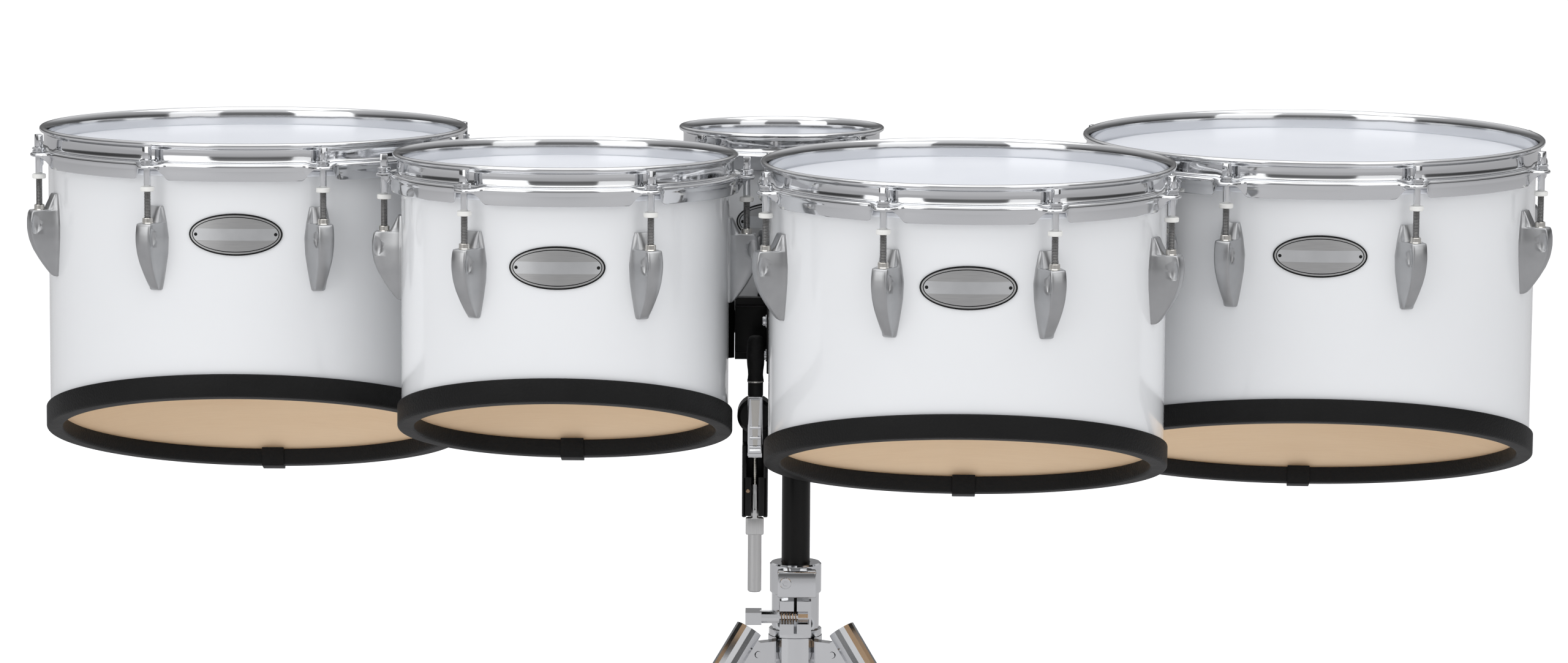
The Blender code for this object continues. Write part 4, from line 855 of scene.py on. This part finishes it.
    plate = softened(block((-24 * MM, -75 * MM, -175 * MM), (-19.5 * MM, -23.3 * MM, -121 * MM)), 0.8 * MM)
    back = softened(block((-49.2 * MM, -27.3 * MM, -165 * MM), (-20 * MM, -23.3 * MM, -128 * MM)), 0.8 * MM)
    at_set("flange_plate", joined(plate, back), PAINT, "black_paint", "set", "side_flange")
    bolts = [shifted(along_x(joined(bar_round(3.6 * MM, -3.4 * MM, -0.4 * MM, 0.6 * MM),
                                    bar_round(5.0 * MM, -0.8 * MM, 0, 0.2 * MM))), -24 * MM, -69 * MM, z * MM)
             for z in (-134, -161)]
    at_set("flange_bolts", joined(*bolts), CHROME, "black_paint", "set", "side_flange")


def dress_stand():
    tube = lathe(((POST_RADIUS, -238.3 * MM), (POST_RADIUS, -694 * MM), (POST_RADIUS - 1.8 * MM, -694 * MM),
                  (POST_RADIUS - 1.8 * MM, -238.3 * MM)), 96)
    at_set("post_tube", tube, PAINT, "black_paint", "post", "post")

    middle = (LOCK_TOP + LOCK_BOTTOM) / 2
    ring = lathe(((POST_RADIUS + GAP, LOCK_TOP), (19.3 * MM, LOCK_TOP), (20.5 * MM, LOCK_TOP - 1.2 * MM),
                  (20.5 * MM, LOCK_BOTTOM + 1.2 * MM), (19.3 * MM, LOCK_BOTTOM), (POST_RADIUS + GAP, LOCK_BOTTOM)), 96)
    jaw = softened(block((-14.5 * MM, -29 * MM, LOCK_BOTTOM + 0.5 * MM), (16.5 * MM, -16 * MM, LOCK_TOP - 3 * MM)),
                   1.4 * MM, 3)
    head = shifted(along_y(bar_round(4.6 * MM, -1.2 * MM, 1.2 * MM, 0.4 * MM)), -8.0 * MM, -28.4 * MM, middle)
    socket = prism([(2.3 * MM * math.cos(math.radians(60 * step)), 2.3 * MM * math.sin(math.radians(60 * step)))
                    for step in range(6)], -4 * MM, 4 * MM)
    head = combined(head, shifted(along_y(socket), -8.0 * MM, -31.4 * MM, middle))
    at_set("lock_block", joined(ring, jaw, head), CHROME, "chrome", "post", "memory_lock")


for drum in TOMS:
    dress_drum(drum)
dress_toggle()
dress_stand()

# Nodes whose shape stays get their finish
NODE_FINISHES = {
    "white_lacquer": LACQUERED,
    "drum_film": FILM,
    "chrome": CHROME,
    "satin_alloy": BRUSHED,
    "black_rubber": RUBBER,
    "black_paint": PAINT,
    "badge_silver": BADGE_METAL,
    "bronze": BRONZE,
}
for subpart in frame["record"]["subparts"]:
    node = frame["nodes"][subpart["node"]]
    node.data.materials.clear()
    node.data.materials.append(NODE_FINISHES[subpart["material_slot"]])


# Floor, light and camera

def build_floor():
    mesh = block((-30, -12, -0.02), (30, 60, 0.0))
    floor = bpy.data.objects.new("floor", mesh)
    bpy.context.scene.collection.objects.link(floor)
    recipe = Recipe("pale_floor")
    camera_ray = recipe.node("ShaderNodeLightPath", output="Is Camera Ray")
    glossy_ray = recipe.node("ShaderNodeLightPath", output="Is Glossy Ray")
    recipe.coat(base_color=recipe.blend(glossy_ray, (0.90, 0.90, 0.90), (0.40, 0.40, 0.41)),
                roughness=0.7, emission_strength=0.55)
    recipe.coat(emission_color=recipe.blend(camera_ray, (0.35, 0.34, 0.33), (1.0, 1.0, 1.0)))
    mesh.materials.append(recipe.material)


def build_world():
    """White behind the set, and for the metal a studio with a bright ceiling and darker walls."""
    world = bpy.data.worlds.new("studio")
    bpy.context.scene.world = world
    world.use_nodes = True
    tree = world.node_tree
    background = tree.nodes["Background"]
    background.inputs["Strength"].default_value = 1.0
    light_path = tree.nodes.new("ShaderNodeLightPath")
    place = tree.nodes.new("ShaderNodeTexCoord")
    split = tree.nodes.new("ShaderNodeSeparateXYZ")
    ramp = tree.nodes.new("ShaderNodeValToRGB")
    stops = ((0.0, 0.60), (0.46, 0.50), (0.51, 0.12), (0.58, 0.20), (0.70, 0.70), (1.0, 1.0))
    elements = ramp.color_ramp.elements
    elements[0].position, elements[0].color = stops[0][0], (stops[0][1],) * 3 + (1.0,)
    elements[1].position, elements[1].color = stops[-1][0], (stops[-1][1],) * 3 + (1.0,)
    for position, level in stops[1:-1]:
        element = elements.new(position)
        element.color = (level, level, level * 1.01, 1.0)
    half = tree.nodes.new("ShaderNodeMath")
    half.operation = "MULTIPLY_ADD"
    half.inputs[1].default_value = 0.5
    half.inputs[2].default_value = 0.5
    glossy = tree.nodes.new("ShaderNodeMix")
    glossy.data_type = "RGBA"
    glossy.inputs[6].default_value = (0.62, 0.63, 0.65, 1.0)
    camera = tree.nodes.new("ShaderNodeMix")
    camera.data_type = "RGBA"
    camera.inputs[7].default_value = (1.0, 1.0, 1.0, 1.0)
    # The sides of the studio are darker than its front and back
    side = tree.nodes.new("ShaderNodeMath")
    side.operation = "MULTIPLY"
    dim = tree.nodes.new("ShaderNodeMath")
    dim.operation = "MULTIPLY_ADD"
    dim.inputs[1].default_value = -0.60
    dim.inputs[2].default_value = 1.0
    shaded = tree.nodes.new("ShaderNodeVectorMath")
    shaded.operation = "SCALE"
    for start, end in (
        (split.outputs["X"], side.inputs[0]),
        (split.outputs["X"], side.inputs[1]),
        (side.outputs[0], dim.inputs[0]),
        (ramp.outputs[0], shaded.inputs[0]),
        (dim.outputs[0], shaded.inputs["Scale"]),
        (place.outputs["Generated"], split.inputs[0]),
        (split.outputs["Z"], half.inputs[0]),
        (half.outputs[0], ramp.inputs[0]),
        (light_path.outputs["Is Glossy Ray"], glossy.inputs[0]),
        (shaded.outputs[0], glossy.inputs[7]),
        (light_path.outputs["Is Camera Ray"], camera.inputs[0]),
        (glossy.outputs[2], camera.inputs[6]),
        (camera.outputs[2], background.inputs["Color"]),
    ):
        tree.links.new(start, end)


def area_light(name, place, aim, size, power):
    light = bpy.data.lights.new(name, "AREA")
    light.shape = "RECTANGLE"
    light.size, light.size_y = size
    light.energy = power
    lamp = bpy.data.objects.new(name, light)
    lamp.location = place
    lamp.rotation_euler = (Vector(aim) - Vector(place)).to_track_quat("-Z", "Y").to_euler()
    bpy.context.scene.collection.objects.link(lamp)


def build_camera():
    camera = bpy.data.cameras.new("camera")
    camera.sensor_width = 36.0
    camera.lens = 126.56
    eye = Vector((POST.x - 0.0105, POST.y - 4.328, HOOP_TOP + 0.4655))
    pitch, roll = math.radians(8.12), math.radians(0.38)
    right = Vector((1, 0, 0))
    up = Vector((0, math.sin(pitch), math.cos(pitch)))
    ahead = Vector((0, math.cos(pitch), -math.sin(pitch)))
    turned_right = right * math.cos(roll) + up * math.sin(roll)
    turned_up = up * math.cos(roll) - right * math.sin(roll)
    holder = bpy.data.objects.new("camera", camera)
    holder.matrix_world = Matrix.Translation(eye) @ Matrix((turned_right, turned_up, -ahead)).transposed().to_4x4()
    bpy.context.scene.collection.objects.link(holder)
    bpy.context.scene.camera = holder


build_floor()
build_world()
AIM = (POST.x, POST.y, 0.75)
area_light("ceiling", (0.0, -0.6, 3.2), AIM, (4.0, 2.6), 34.0)
area_light("front_left", (-2.6, -3.0, 1.9), AIM, (2.6, 2.6), 28.0)
area_light("front_right", (2.4, -3.2, 2.0), AIM, (2.4, 2.6), 18.0)
build_camera()
bpy.context.scene.view_settings.view_transform = "Standard"
